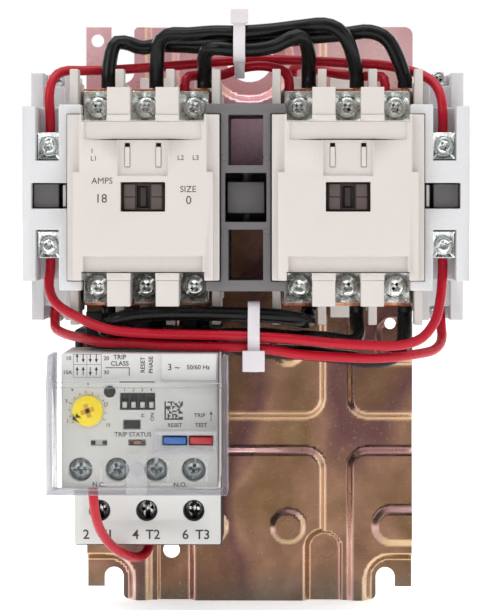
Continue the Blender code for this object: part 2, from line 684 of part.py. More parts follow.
def power_jumpers(look):
    """Three across the top, with the outer two poles swapped, and three straight across below."""
    routes = {
        "line_jumper_1": (
            1, 3, 1,
            [(-42.0, 62.6, 79.0), (-40.6, 60.8, 84.6), (-37.0, 59.0, 85.2), (-32.5, 58.4, 83.7)]
            + [(-27.0, 58.4, 84.4), (-19.0, 60.0, 84.2), (-12.0, 63.2, 83.8), (-1.5, 66.6, 84.8)]
            + [(10.0, 64.2, 85.6), (20.0, 62.4, 86.8), (30.6, 61.8, 87.7), (37.3, 62.4, 88.4)]
            + [(42.6, 63.0, 86.2), (45.8, 63.5, 81.0)],
        ),
        "line_jumper_2": (
            2, 2, 1,
            [(-27.4, 64.6, 79.0), (-26.6, 66.0, 85.0), (-23.4, 67.8, 87.2), (-17.5, 69.0, 87.2)]
            + [(-10.0, 70.0, 87.7), (-1.5, 71.4, 87.6), (8.0, 69.6, 88.4), (16.6, 67.2, 89.6)]
            + [(23.6, 67.8, 90.2), (28.2, 68.4, 88.4), (31.3, 67.6, 84.0), (33.0, 65.2, 78.0)],
        ),
        "line_jumper_3": (
            3, 1, 1,
            [(-12.8, 66.0, 76.5), (-12.6, 70.6, 81.0), (-10.2, 74.0, 82.8), (-4.0, 73.8, 82.4)]
            + [(3.0, 73.2, 82.4), (9.0, 73.0, 83.6), (13.4, 73.2, 85.8), (17.0, 71.6, 86.2)]
            + [(18.8, 67.8, 82.0), (18.9, 65.0, 77.0)],
        ),
        "load_jumper_1": (
            1, 1, -1,
            [(-42.5, 66.4, -1.4), (-42.7, 73.0, -2.8), (-41.6, 78.6, -1.2), (-37.4, 80.6, 1.4)]
            + [(-29.0, 80.8, 2.6), (-15.0, 80.8, 2.8), (0.0, 80.6, 2.4), (9.0, 80.2, 2.0)]
            + [(14.4, 79.0, 1.2), (17.8, 74.6, 0.2), (18.9, 68.4, 0.0)],
        ),
        "load_jumper_2": (
            2, 2, -1,
            [(-27.6, 65.2, -2.2), (-25.4, 70.0, -4.8), (-18.0, 74.2, -4.4), (-6.0, 75.2, -4.0)]
            + [(5.4, 75.0, -4.0), (17.0, 73.6, -4.8), (26.0, 74.0, -5.2), (31.4, 72.6, -6.2)]
            + [(33.8, 68.2, -4.4), (33.7, 65.0, -0.2)],
        ),
        "load_jumper_3": (
            3, 3, -1,
            [(-12.95, 64.0, -0.6), (-12.5, 64.8, -3.8), (-8.0, 67.0, -6.4), (-1.0, 68.8, -8.4)]
            + [(7.0, 69.4, -9.2), (18.0, 69.4, -9.6), (30.0, 69.2, -11.0), (38.0, 69.0, -12.0)]
            + [(45.0, 68.0, -10.8), (48.0, 66.2, -5.8), (48.2, 64.6, 0.0)],
        ),
    }
    for name, (pole_from, pole_to, end, middle) in routes.items():
        start, finish = jumper_ends(pole_from, pole_to, end)
        wire(name, look, start + middle + finish, POWER_WIRE, 9.0)


def control_wires(look):
    """The thin wires between the auxiliary blocks, the contactors and the relay."""
    aux_x, front_d, deep_d = 59.6, 70.0, 52.0
    top_end, low_end = 57.35, 19.25
    line_3 = poles(-CONTACTOR_X)[2] - WIRE_SIDE
    line_4 = poles(CONTACTOR_X)[0] - WIRE_SIDE
    line_6 = poles(CONTACTOR_X)[2] - WIRE_SIDE
    terminal_d, terminal_z = 63.2, CONTACTOR_Z + 31.75
    routes = {
        "control_wire_1": [(-aux_x, front_d, top_end), (-aux_x, front_d, 62.0), (-60.0, 69.4, 69.0)]
        + [(-58.8, 66.4, 74.2), (-55.6, 62.8, 76.4), (-50.8, 60.2, 76.6), (-44.0, 58.4, 76.8)]
        + [(-34.2, 57.4, 77.4), (-20.0, 57.6, 78.4), (0.0, 57.8, 80.0), (16.0, 57.8, 79.8)]
        + [(30.8, 58.0, 79.0), (41.0, 58.4, 78.4), (49.0, 59.4, 76.8), (54.0, 61.6, 75.0)]
        + [(57.6, 65.0, 72.0), (59.3, 68.2, 67.6), (59.6, 69.8, 62.4), (aux_x, front_d, top_end)],
        "control_wire_2": [(line_3, terminal_d, terminal_z), (line_3, terminal_d, 72.2)]
        + [(-18.2, 61.2, 74.6), (-14.0, 58.8, 75.2), (-8.0, 59.6, 75.2), (-2.0, 61.4, 77.2)]
        + [(3.6, 62.0, 78.0), (8.4, 62.2, 77.4), (11.8, 62.6, 76.0), (line_4, terminal_d, 73.2)]
        + [(line_4, terminal_d, terminal_z)],
        "control_wire_3": [(14.0, 38.0, 75.8), (14.1, 38.4, 78.0), (16.4, 43.0, 79.2), (21.4, 50.0, 77.4)]
        + [(28.0, 54.0, 75.8), (34.0, 55.6, 75.2), (38.8, 58.0, 74.9), (41.4, 61.0, 74.6)]
        + [(line_6, terminal_d, 73.0), (line_6, terminal_d, terminal_z)],
        "control_wire_4": [(-aux_x, front_d, low_end), (-aux_x, front_d, 16.0), (-60.0, 70.8, 10.2)]
        + [(-57.2, 74.6, 5.2), (-49.4, 80.4, 1.0), (-40.8, 83.6, -2.0), (-28.2, 84.2, -3.2)]
        + [(-12.0, 84.2, -3.6), (0.6, 84.2, -3.9), (13.0, 84.0, -4.7), (26.1, 83.4, -6.0)]
        + [(38.0, 81.4, -6.8), (46.0, 79.2, -6.9), (52.8, 76.0, -5.0), (57.2, 73.0, 0.2)]
        + [(58.9, 71.0, 7.0), (aux_x, front_d, 15.0), (aux_x, front_d, low_end)],
        "control_wire_5": [(-aux_x, deep_d, 3.7), (-aux_x, deep_d + 0.4, 0.6), (-59.2, 55.0, -2.6)]
        + [(-55.8, 62.0, -4.1), (-50.0, 70.4, -5.1), (-43.0, 77.6, -6.1), (-33.0, 81.0, -6.2)]
        + [(-24.0, 82.2, -6.8), (-12.0, 82.8, -7.1), (0.6, 83.0, -7.4), (8.0, 82.6, -8.2)]
        + [(17.2, 81.8, -9.6), (34.9, 79.4, -10.7), (44.0, 76.0, -10.6), (51.6, 69.0, -10.0)]
        + [(57.4, 61.4, -9.0), (60.0, 55.6, -6.2), (60.0, 52.8, -2.0), (aux_x, deep_d, 3.7)],
        "control_wire_6": [(-46.1, 80.0, RELAY_BOTTOM + 0.4), (-46.1, 79.4, -52.6), (-45.9, 73.4, -58.6)]
        + [(-44.7, 65.2, -64.6), (-41.9, 56.8, -69.8), (-38.0, 46.8, -73.8), (-34.4, 36.0, -75.6)]
        + [(RELAY_X - 0.6, 28.4, -74.0), (RELAY_X, 27.0, -69.2)],
    }
    for name, route in routes.items():
        wire(name, look, route, CONTROL_WIRE, 7.0)


def bundle_outline(bundle, clearance, steps=28):
    """The line of a band pulled tight round wires whose centres and radii are (d, z, radius)."""
    outline = []
    for i in range(steps):
        angle = 2 * math.pi * i / steps
        way = Vector((math.cos(angle), math.sin(angle)))
        far = max(bundle, key=lambda w: w[0] * way.x + w[1] * way.y + w[2])
        outline.append((far[0] + (far[2] + clearance) * way.x, far[1] + (far[2] + clearance) * way.y))
    return outline


def cable_tie(name, look, x, bundle, head, tail):
    """A band with its square head and cut tail."""
    inner, outer = 0.8, 1.9
    width = 3.6
    middle = (x[0] + x[1]) / 2
    band_x = (middle - width / 2, middle + width / 2)
    band = side_shape(bundle_outline(bundle, outer), band_x)
    opening = side_shape(bundle_outline(bundle, inner), (band_x[0] - 1, band_x[1] + 1))
    pieces = [band, box(x, *head), side_shape(tail, (middle - width / 2 + 0.3, middle + width / 2 - 0.3))]
    part(name, look, pieces, [opening])


def cable_ties(look):
    upper_x, lower_x = -2.1, 2.4
    upper = [crossing(f"line_jumper_{n}", upper_x, POWER_WIRE) for n in (1, 2, 3)]
    cable_tie(
        "upper_cable_tie", look, (upper_x - 2.6, upper_x + 2.6), upper, ((69.5, 75.0), (90.3, 94.6)),
        [(73.2, 79.4), (74.2, 78.4), (67.0, 73.8), (66.2, 74.8), (70.6, 78.6)],
    )
    lower = [crossing(f"load_jumper_{n}", lower_x, POWER_WIRE) for n in (1, 2, 3)]
    lower += [crossing(f"control_wire_{n}", lower_x, CONTROL_WIRE) for n in (4, 5)]
    cable_tie(
        "lower_cable_tie", look, (lower_x - 3.3, lower_x + 3.3), lower, ((84.9, 90.0), (-14.4, -8.2)),
        [(81.6, -10.2), (85.4, -13.6), (85.4, -14.8), (81.0, -11.4)],
    )


def main():
    looks = {
        "steel": material("yellow_zinc_steel", (0.42, 0.26, 0.16), 0.42, 0.8),
        "black": material("black_plastic", (0.02, 0.02, 0.022), 0.55),
        "iron": material("laminated_iron", (0.28, 0.28, 0.29), 0.45, 1.0),
        "coil": material("coil_wrap", (0.35, 0.07, 0.03), 0.6),
        "brown": material("brown_plastic", (0.07, 0.035, 0.03), 0.5),
        "cover": material("beige_plastic", (0.74, 0.7, 0.65), 0.5),
        "zinc": material("zinc_plated_steel", (0.68, 0.7, 0.7), 0.3, 1.0),
        "grey": material("grey_plastic", (0.16, 0.155, 0.16), 0.55),
        "pale": material("pale_grey_plastic", (0.6, 0.6, 0.61), 0.5),
        "white": material("white_plastic", (0.72, 0.71, 0.7), 0.5),
        "clear": material("clear_plastic", (0.8, 0.8, 0.86), 0.1),
        "yellow": material("yellow_plastic", (0.9, 0.75, 0.01), 0.4),
        "blue": material("blue_plastic", (0.05, 0.12, 0.42), 0.4),
        "red": material("red_plastic", (0.6, 0.04, 0.05), 0.4),
        "orange": material("orange_plastic", (0.8, 0.25, 0.03), 0.4),
        "power": material("black_insulation", (0.015, 0.015, 0.015), 0.45),
        "control": material("red_insulation", (0.5, 0.01, 0.03), 0.4),
        "tie": material("natural_nylon", (0.7, 0.7, 0.7), 0.4),
    }
    baseplate(looks["steel"])
    contactor("forward", -CONTACTOR_X, looks)
    contactor("reverse", CONTACTOR_X, looks)
    interlock(looks)
    aux_block("left", -1, looks)
    aux_block("right", 1, looks)
    relay_base(looks["black"])
    for number, pole in enumerate(poles(RELAY_X), 1):
        relay_load_terminal(f"overload_load_terminal_{number}", pole, looks["zinc"])
    current_transformers(looks["coil"])
    relay_housing(looks["white"])
    relay_cover(looks["clear"])
    relay_controls(looks)
    power_jumpers(looks["power"])
    control_wires(looks["control"])
    cable_ties(looks["tie"])


clear_scene()
ROOT = bpy.data.objects.new("starter", None)
ROOT.location = (0.0, 0.0, -ORIGIN_Z * MM)
bpy.context.scene.collection.objects.link(ROOT)
main()
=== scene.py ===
"""The looks of an open reversing magnetic motor starter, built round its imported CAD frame.

A place is written (x, d, z) in millimetres: x to the right, d out from the mounting panel and z up from the
middle of the plate. The frame is in metres, its front faces -Y, and its origin is under the upper foot."""

import json
import math
import random

import bmesh
import bpy
from mathutils import Matrix, Vector

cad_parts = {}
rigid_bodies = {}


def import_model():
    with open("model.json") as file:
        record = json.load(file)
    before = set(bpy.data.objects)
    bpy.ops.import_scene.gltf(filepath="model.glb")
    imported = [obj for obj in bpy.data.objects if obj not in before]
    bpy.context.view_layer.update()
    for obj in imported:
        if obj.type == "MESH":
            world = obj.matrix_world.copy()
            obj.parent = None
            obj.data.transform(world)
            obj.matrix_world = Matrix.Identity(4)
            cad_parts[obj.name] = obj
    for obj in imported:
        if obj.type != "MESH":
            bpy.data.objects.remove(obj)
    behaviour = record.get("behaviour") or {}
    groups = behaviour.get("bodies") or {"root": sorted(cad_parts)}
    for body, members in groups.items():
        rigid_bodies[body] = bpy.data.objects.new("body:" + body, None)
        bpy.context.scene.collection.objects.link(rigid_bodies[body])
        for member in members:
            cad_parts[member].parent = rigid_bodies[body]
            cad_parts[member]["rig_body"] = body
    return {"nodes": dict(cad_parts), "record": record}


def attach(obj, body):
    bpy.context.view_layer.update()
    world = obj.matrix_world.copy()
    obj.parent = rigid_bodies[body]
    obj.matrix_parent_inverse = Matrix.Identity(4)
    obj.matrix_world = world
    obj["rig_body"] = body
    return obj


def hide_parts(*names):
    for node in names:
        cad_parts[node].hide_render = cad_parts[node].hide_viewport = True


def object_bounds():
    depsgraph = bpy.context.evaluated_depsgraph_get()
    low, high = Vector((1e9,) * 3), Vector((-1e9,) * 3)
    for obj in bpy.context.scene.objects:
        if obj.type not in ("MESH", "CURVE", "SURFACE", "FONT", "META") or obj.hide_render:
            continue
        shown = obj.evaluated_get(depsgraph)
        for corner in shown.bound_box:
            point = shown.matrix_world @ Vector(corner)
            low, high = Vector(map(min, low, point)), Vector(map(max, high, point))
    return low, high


MM = 0.001
ORIGIN_Z = 73.2
PANEL = "starter"  # the body that everything fixed rides on
ZINC = "zinc_plated_steel"

CONTACTOR_X = 30.6
CONTACTOR_Z = 37.8
POLE_PITCH = 14.65
TERMINAL_Z = 27.2
RELAY_X = -31.35
RELAY_FACE = 92.0
LOAD_Z = -59.6  # the relay's load screws
DIAL = (-47.0, -25.9)
POWER_WIRE = 4.5
CONTROL_WIRE = 3.0
AUX_X = 59.6

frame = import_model()
CAD_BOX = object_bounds()
SLOTS = {row["node"]: row["material_slot"] for row in frame["record"]["subparts"]}


def poles(cx):
    return [cx + POLE_PITCH * i for i in (-1, 0, 1)]


def point(x, d, z):
    return Vector((x, -d, z - ORIGIN_Z)) * MM


def srgb(*levels):
    """Linear colour from the usual 0 to 255 values."""
    shares = [level / 255 for level in levels]
    return tuple(v / 12.92 if v <= 0.04045 else ((v + 0.055) / 1.055) ** 2.4 for v in shares)


def placed(name, data):
    """A new object in the scene."""
    made = bpy.data.objects.new(name, data)
    bpy.context.scene.collection.objects.link(made)
    return made


# ---- materials


class Look:
    """A node material under construction, with short ways to add the nodes used here."""

    def __init__(self, name):
        self.material = bpy.data.materials.new(name + "_look")
        self.material.use_nodes = True
        self.tree = self.material.node_tree
        self.shader = self.tree.nodes["Principled BSDF"]
        self.place = self.add("TexCoord").outputs["Object"]

    def add(self, kind, inputs=None, **settings):
        made = self.tree.nodes.new("ShaderNode" + kind)
        for key, value in settings.items():
            setattr(made, key, value)
        for key, value in (inputs or {}).items():
            self.feed(made.inputs[key], value)
        return made

    def feed(self, socket, value):
        if isinstance(value, bpy.types.NodeSocket):
            self.tree.links.new(value, socket)
        elif isinstance(value, tuple) and len(value) == 3 and socket.type == "RGBA":
            socket.default_value = (*value, 1.0)
        else:
            socket.default_value = value

    def set(self, **inputs):
        for key, value in inputs.items():
            self.feed(self.shader.inputs[key.replace("_", " ")], value)

    def noise(self, scale, detail=2.0, stretch=(1.0, 1.0, 1.0), distortion=0.0):
        """Noise in the object's own place: scale is in features per metre."""
        mapped = self.add("Mapping", {"Vector": self.place, "Scale": stretch})
        inputs = {"Vector": mapped.outputs[0], "Scale": scale, "Detail": detail, "Distortion": distortion}
        return self.add("TexNoise", inputs).outputs["Fac"]

    def ramp(self, factor, *stops):
        """stops are (position, colour) pairs."""
        made = self.add("ValToRGB", {"Fac": factor})
        elements = made.color_ramp.elements
        while len(elements) < len(stops):
            elements.new(0.5)
        for element, (position, colour) in zip(elements, stops):
            element.position = position
            element.color = (*colour, 1.0)
        return made.outputs["Color"]

    def span(self, value, low, high, start=0.3, end=0.7):
        inputs = {"Value": value, "From Min": start, "From Max": end, "To Min": low, "To Max": high}
        return self.add("MapRange", inputs).outputs["Result"]

    def mix(self, factor, one, other):
        made = self.add("Mix", data_type="RGBA")
        for index, value in ((0, factor), (6, one), (7, other)):
            self.feed(made.inputs[index], value)
        return made.outputs[2]

    def bump(self, height, distance, normal=None):
        """distance is in millimetres."""
        inputs = {"Height": height, "Distance": distance * MM, "Strength": 1.0}
        if normal is not None:
            inputs["Normal"] = normal
        return self.add("Bump", inputs).outputs["Normal"]

    def along(self, axis, drift):
        """The place along one axis in metres, with a wavering edge."""
        split = self.add("SeparateXYZ", {"Vector": self.place})
        inputs = {0: split.outputs[axis], 1: self.span(drift, -0.004, 0.004)}
        return self.add("Math", inputs, operation="ADD").outputs[0]


def plastic(name, colour, roughness, uneven=0.93, coat=0.0):
    """Moulded plastic: fine spark-eroded grain, slow changes of shade, handling marks in the gloss."""
    look = Look(name)
    slow, fine = look.noise(55.0, 3.0), look.noise(2400.0, 2.0)
    shade = look.ramp(slow, (0.3, tuple(c * uneven for c in colour)), (0.7, colour))
    speck = tuple(min(1.0, c * 1.06 + 0.002) for c in colour)
    look.set(Base_Color=look.mix(look.span(fine, 0.0, 0.6), shade, speck))
    handled = look.span(look.noise(240.0, 4.0), roughness - 0.07, roughness + 0.09)
    look.set(Roughness=handled, Coat_Weight=coat)
    look.set(Normal=look.bump(fine, 0.02, look.bump(look.noise(120.0, 2.0), 0.03)))
    return look.material


def metal(name, colour, other, roughness):
    """Plated metal: two tones, fine scratches one way and tarnish in patches."""
    look = Look(name)
    patches = look.noise(420.0, 3.0)
    base = look.ramp(patches, (0.35, other), (0.65, colour))
    lines = look.span(look.noise(900.0, 4.0, (1.0, 1.0, 0.06)), 0.0, 1.0, 0.42, 0.75)
    look.set(Base_Color=look.mix(lines, base, tuple(min(1.0, c * 1.2) for c in colour)))
    look.set(Metallic=1.0, Roughness=look.span(look.noise(700.0, 3.0), roughness - 0.08, roughness + 0.12))
    look.set(Normal=look.bump(look.noise(1500.0, 3.0), 0.02, look.bump(lines, 0.01)))
    return look.material


def chromate():
    """Yellow passivated zinc: brown gold that drifts to plum and green, with a faint orange peel. Painted
    highlights:
    walls are painted paler by the way they face, and the upper part pale pink and less metallic, for the
    light reflecting there."""
    look = Look("yellow_zinc_steel")
    drift = look.noise(15.0, 2.5, (1.0, 1.0, 0.6), 0.5)
    film = look.ramp(
        drift,
        *((0.28, srgb(134, 110, 80)), (0.38, srgb(118, 90, 66)), (0.47, srgb(140, 106, 86))),
        *((0.54, srgb(104, 72, 72)), (0.62, srgb(116, 86, 66)), (0.74, srgb(146, 112, 94))),
    )
    foot = look.span(look.along("Z", drift), 0.6, 0.0, -0.168, -0.156)
    film = look.mix(foot, film, srgb(120, 122, 114))
    stain = look.span(look.noise(90.0, 5.0), 0.0, 0.5, 0.45, 0.75)
    specks = look.span(look.noise(1300.0, 2.0), 0.0, 0.35, 0.64, 0.76)
    film = look.mix(specks, look.mix(stain, film, srgb(92, 72, 56)), srgb(190, 164, 132))
    # painted highlight: the upper part of the plate turns pale pink and less metallic for the top light's
    # glare
    painted_top_glare = look.span(look.along("Z", drift), 0.0, 1.0, -0.04, 0.008)
    top = look.ramp(
        drift, (0.38, srgb(246, 206, 204)), (0.5, srgb(226, 168, 178)), (0.62, srgb(222, 190, 214))
    )
    film = look.mix(painted_top_glare, film, top)
    # painted highlights: walls facing up, down, left and right are painted pink or cream for the lights they
    # reflect
    painted_glint_facing = look.add("SeparateXYZ", {"Vector": look.add("TexCoord").outputs["Normal"]})
    for axis, low, high, colour in (
        ("Z", 0.12, 0.55, srgb(246, 200, 204)),
        ("Z", -0.12, -0.55, srgb(238, 208, 164)),
        ("X", -0.15, -0.6, srgb(238, 196, 184)),
        ("X", 0.15, 0.6, srgb(228, 196, 164)),
    ):
        film = look.mix(look.span(painted_glint_facing.outputs[axis], 0.0, 0.75, low, high), film, colour)
    look.set(Base_Color=film, Metallic=look.span(painted_top_glare, 1.0, 0.35, 0.0, 1.0))
    look.set(Roughness=look.span(look.noise(150.0, 4.0), 0.2, 0.34))
    look.set(Normal=look.bump(look.noise(380.0, 3.0), 0.02, look.bump(look.noise(60.0, 2.0), 0.06)))
    return look.material


def laminations():
    """The edges of stacked iron sheets."""
    look = Look("laminated_iron")
    wave = look.add("TexWave", {"Vector": look.place, "Scale": 300.0, "Distortion": 0.6}, bands_direction="X")
    lines = wave.outputs["Fac"]
    look.set(Base_Color=look.ramp(lines, (0.1, (0.05, 0.045, 0.04)), (0.5, (0.34, 0.34, 0.35))))
    look.set(Metallic=0.9, Roughness=look.span(look.noise(500.0), 0.35, 0.6))
    look.set(Normal=look.bump(lines, 0.05))
    return look.material


def winding():
    """A taped, varnished coil, with the wire turns showing through."""
    look = Look("coil_wrap")
    wave = look.add("TexWave", {"Vector": look.place, "Scale": 420.0, "Distortion": 1.2}, bands_direction="Z")
    turns = wave.outputs["Fac"]
    look.set(Base_Color=look.ramp(turns, (0.2, (0.16, 0.03, 0.012)), (0.8, (0.45, 0.11, 0.035))))
    look.set(Roughness=look.span(look.noise(300.0), 0.25, 0.5), Coat_Weight=0.3)
    look.set(Normal=look.bump(turns, 0.12))
    return look.material


def insulation(name, colour, roughness, specular):
    """Extruded thermoplastic over stranded wire: glossy, faintly ribbed, dusty in places."""
    look = Look(name)
    dust = look.span(look.noise(130.0, 4.0), 0.0, 0.08, 0.45, 0.7)
    pale = tuple(0.8 * c + 0.02 for c in colour)
    look.set(Base_Color=look.mix(dust, colour, pale))
    look.set(Roughness=look.span(look.noise(220.0, 3.0), roughness - 0.08, roughness + 0.1))
    look.set(Specular_IOR_Level=specular)
    look.set(Normal=look.bump(look.noise(160.0, 3.0), 0.12, look.bump(look.noise(900.0, 2.0), 0.012)))
    return look.material


def clear(name, tint, body, see_front, see_edge):
    """Clear polycarbonate: mostly see-through face on, tinted and shiny at a slant."""
    look = Look(name)
    haze = look.noise(40.0, 3.0)
    look.set(Base_Color=look.ramp(haze, (0.35, body), (0.65, tuple(min(1.0, c * 1.1) for c in body))))
    look.set(Roughness=look.span(look.noise(90.0, 4.0), 0.05, 0.16))
    look.set(Normal=look.bump(look.noise(45.0, 2.0), 0.012), Specular_IOR_Level=0.8)
    slant = look.add("LayerWeight", {"Blend": 0.35}).outputs["Facing"]
    share = look.span(slant, see_front, see_edge, 0.0, 0.9)
    through = look.add("BsdfTransparent", {"Color": tint})
    both = look.add("MixShader", {0: share, 1: through.outputs[0], 2: look.shader.outputs[0]})
    output = look.tree.nodes["Material Output"]
    look.tree.links.new(both.outputs[0], output.inputs["Surface"])
    return look.material


LOOKS = {
    "yellow_zinc_steel": chromate(),
    "laminated_iron": laminations(),
    "coil_wrap": winding(),
    ZINC: metal(ZINC, srgb(234, 238, 235), srgb(206, 212, 208), 0.22),
    "clear_plastic": clear("clear_plastic", (0.985, 0.985, 0.98), srgb(214, 214, 214), 0.03, 0.4),
    "black_insulation": insulation("black_insulation", (0.003, 0.003, 0.003), 0.26, 0.24),
    "red_insulation": insulation("red_insulation", srgb(176, 6, 34), 0.32, 0.3),
}
for mould in (  # the plastic's slot, colour, roughness, lowest shade and clear coat
    ("black_plastic", (0.014, 0.014, 0.015), 0.5),
    ("brown_plastic", srgb(54, 43, 41), 0.42, 0.8),
    ("beige_plastic", srgb(205, 198, 193), 0.5, 0.97),
    ("grey_plastic", srgb(104, 101, 103), 0.52, 0.9),
    ("pale_grey_plastic", srgb(208, 208, 210), 0.48, 0.96),
    ("white_plastic", srgb(209, 209, 206), 0.48, 0.97),
    ("yellow_plastic", srgb(250, 222, 0), 0.4, 0.94),
    ("blue_plastic", srgb(70, 122, 198), 0.34, 0.85, 0.2),
    ("red_plastic", srgb(205, 54, 60), 0.34, 0.85, 0.2),
    ("orange_plastic", srgb(150, 118, 92), 0.4, 0.85),
    ("natural_nylon", srgb(214, 208, 213), 0.36, 0.93, 0.15),
):
    LOOKS[mould[0]] = plastic(*mould)
# The clear cover's sides and its ribs, print, bare copper, screws behind the cover, a zinc painted dark as
# shade for screws deep in their bores, and the columns in a contactor's window.
EDGE_LOOK = clear("clear_plastic_edge", (0.87, 0.87, 0.9), srgb(188, 186, 195), 0.62, 0.74)
RIB_LOOK = clear("clear_plastic_rib", (0.97, 0.97, 0.975), srgb(222, 220, 224), 0.16, 0.5)
INK_LOOK = plastic("ink", srgb(62, 56, 55), 0.55, uneven=0.8)
COPPER_LOOK = metal("copper", srgb(232, 158, 118), srgb(190, 112, 74), 0.34)
DULL_ZINC_LOOK = metal("dull_zinc", srgb(168, 176, 180), srgb(118, 126, 130), 0.32)
SHADED_ZINC_LOOK = metal("shaded_zinc", srgb(58, 62, 60), srgb(20, 22, 21), 0.34)
COLUMN_LOOK = plastic("carrier_column", srgb(92, 79, 76), 0.46, uneven=0.85)


# ---- shapes


def loft(shape, rings):
    """A closed skin over rings of points with the same count, capped at both ends."""
    made = [[shape.verts.new(p) for p in ring] for ring in rings]
    for lower, upper in zip(made, made[1:]):
        count = len(lower)
        for i in range(count):
            j = (i + 1) % count
            shape.faces.new((lower[i], lower[j], upper[j], upper[i]))
    shape.faces.new(made[0][::-1])
    shape.faces.new(made[-1])


def add_prism(shape, outline, d):
    """An (x, z) outline between two depths."""
    loft(shape, [[point(x, at, z) for x, z in outline] for at in d])
    return shape


def add_box(shape, x, d, z):
    return add_prism(shape, [(x[0], z[0]), (x[1], z[0]), (x[1], z[1]), (x[0], z[1])], d)


def circle(centre, radius, sides=32, start=0.0, turn=360.0):
    steps = sides if turn >= 360.0 else sides + 1
    angles = [math.radians(start + turn * i / sides) for i in range(steps)]
    return [(centre[0] + radius * math.cos(a), centre[1] + radius * math.sin(a)) for a in angles]


def add_turned(shape, centre, profile, sides=32):
    """A turned solid on a line out of the panel; profile is (radius, d) pairs from the back."""
    loft(shape, [[point(x, d, z) for x, z in circle(centre, r, sides)] for r, d in profile])
    return shape


def rounded(x, z, radius, steps=5):
    """A rectangle with round corners, as an (x, z) outline."""
    corners = [
        (x[1] - radius, z[0] + radius, 270),
        (x[1] - radius, z[1] - radius, 0),
        (x[0] + radius, z[1] - radius, 90),
        (x[0] + radius, z[0] + radius, 180),
    ]
    outline = []
    for cx, cz, start in corners:
        outline += circle((cx, cz), radius, steps, start, 90.0)
    return outline


def mesh_of(name, shape):
    mesh = bpy.data.meshes.new(name)
    shape.to_mesh(mesh)
    shape.free()
    return mesh


def object_of(name, shape):
    bmesh.ops.recalc_face_normals(shape, faces=shape.faces)
    return placed(name, mesh_of(name, shape))


def evaluated(made):
    """The object's mesh with its modifiers applied; the object goes."""
    bpy.context.view_layer.update()
    graph = bpy.context.evaluated_depsgraph_get()
    mesh = bpy.data.meshes.new_from_object(made.evaluated_get(graph))
    bpy.data.objects.remove(made)
    return mesh


def carve(made, *cutters, operation="DIFFERENCE"):
    """Cuts each cutter's solids out of the object, or with INTERSECT keeps only what lies in them."""
    for number, cutter in enumerate(cutters):
        tool = object_of(f"{made.name}_cutter_{number}", cutter)
        modifier = made.modifiers.new("cut", "BOOLEAN")
        modifier.operation = operation
        modifier.solver = "EXACT"
        modifier.object = tool
    name = made.name
    tools = [m.object for m in made.modifiers]
    mesh = evaluated(made)
    for tool in tools:
        bpy.data.objects.remove(tool)
    return placed(name, mesh)


def bevelled(made, width):
    """The object with one narrow facet along each edge; the width is in millimetres."""
    bevel = made.modifiers.new("edges", "BEVEL")
    bevel.width, bevel.segments, bevel.use_clamp_overlap = width * MM, 1, True
    bevel.angle_limit = math.radians(35)
    return made


def soften(made, width, segments=2, angle=32.0):
    """Rounds the edges by a width in millimetres and keeps the flat faces flat."""
    made.data.shade_smooth()
    if not width:
        made.data.set_sharp_from_angle(angle=math.radians(angle))
        return
    bevel = made.modifiers.new("edges", "BEVEL")
    bevel.width = width * MM
    bevel.segments = segments
    bevel.limit_method = "ANGLE"
    bevel.angle_limit = math.radians(angle)
    bevel.use_clamp_overlap = False
    bevel.harden_normals = True


def finish_piece(made, slot, body=PANEL, look=None, replaces=()):
    made.data.materials.clear()
    made.data.materials.append(look or LOOKS[slot])
    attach(made, body)
    if replaces:
        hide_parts(*replaces)
    return made


def piece(name, shape, slot, width=0.25, segments=2, body=PANEL, look=None):
    made = object_of(name, shape)
    soften(made, width, segments)
    return finish_piece(made, slot, body, look)


def skin(node, width, segments=2, angle=32.0):
    """The CAD node's own faces with softly rounded edges."""
    source = frame["nodes"][node]
    shape = bmesh.new()
    shape.from_mesh(source.data)
    bmesh.ops.remove_doubles(shape, verts=shape.verts, dist=2e-6)
    bmesh.ops.dissolve_limit(shape, angle_limit=math.radians(0.4), verts=shape.verts, edges=shape.edges)
    bmesh.ops.connect_verts_concave(shape, faces=shape.faces)
    made = object_of(node + "_skin", shape)
    soften(made, width, segments, angle)
    return finish_piece(made, SLOTS[node], source["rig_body"], replaces=(node,))


def lettering(rows, d, bold=0.0):
    """Printed words: rows are (text, x, z, cap height), and a turn in degrees where one isn't level."""
    shape = bmesh.new()
    for text, x, z, height, *turn in rows:
        letters = bpy.data.curves.new("letters", "FONT")
        letters.body = text
        letters.size = height / 0.7 * MM
        letters.align_x, letters.align_y = "CENTER", "CENTER"
        letters.extrude = 0.012 * MM
        letters.offset = bold * MM
        letters.resolution_u = 3
        mesh = evaluated(placed("letters", letters))
        turned = Matrix.Rotation(math.radians(90), 4, "X") @ Matrix.Rotation(math.radians(sum(turn)), 4, "Z")
        mesh.transform(Matrix.Translation(point(x, d + 0.03, z)) @ turned)
        shape.from_mesh(mesh)
    return shape


def printed(name, shape):
    piece(name, shape, "black_plastic", 0.0, look=INK_LOOK)


# ---- camera, light, floor


def aimed(name, data, place, target):
    made = placed(name, data)
    made.location = place
    made.rotation_mode = "QUATERNION"
    made.rotation_quaternion = (target - made.location).to_track_quat("-Z", "Y")
    return made


def camera():
    data = bpy.data.cameras.new("camera")
    data.lens = 190.2
    data.sensor_width = 36.0
    made = aimed("camera", data, point(14.66, 1050.0, 33.9), point(0.8, 50.0, 4.4))
    bpy.context.scene.camera = made


def lamp(name, place, size, power):
    data = bpy.data.lights.new(name, "AREA")
    data.shape = "RECTANGLE"
    data.size, data.size_y = size
    data.energy = power
    aimed(name, data, place, Vector((0.0, -0.05, -0.07)))


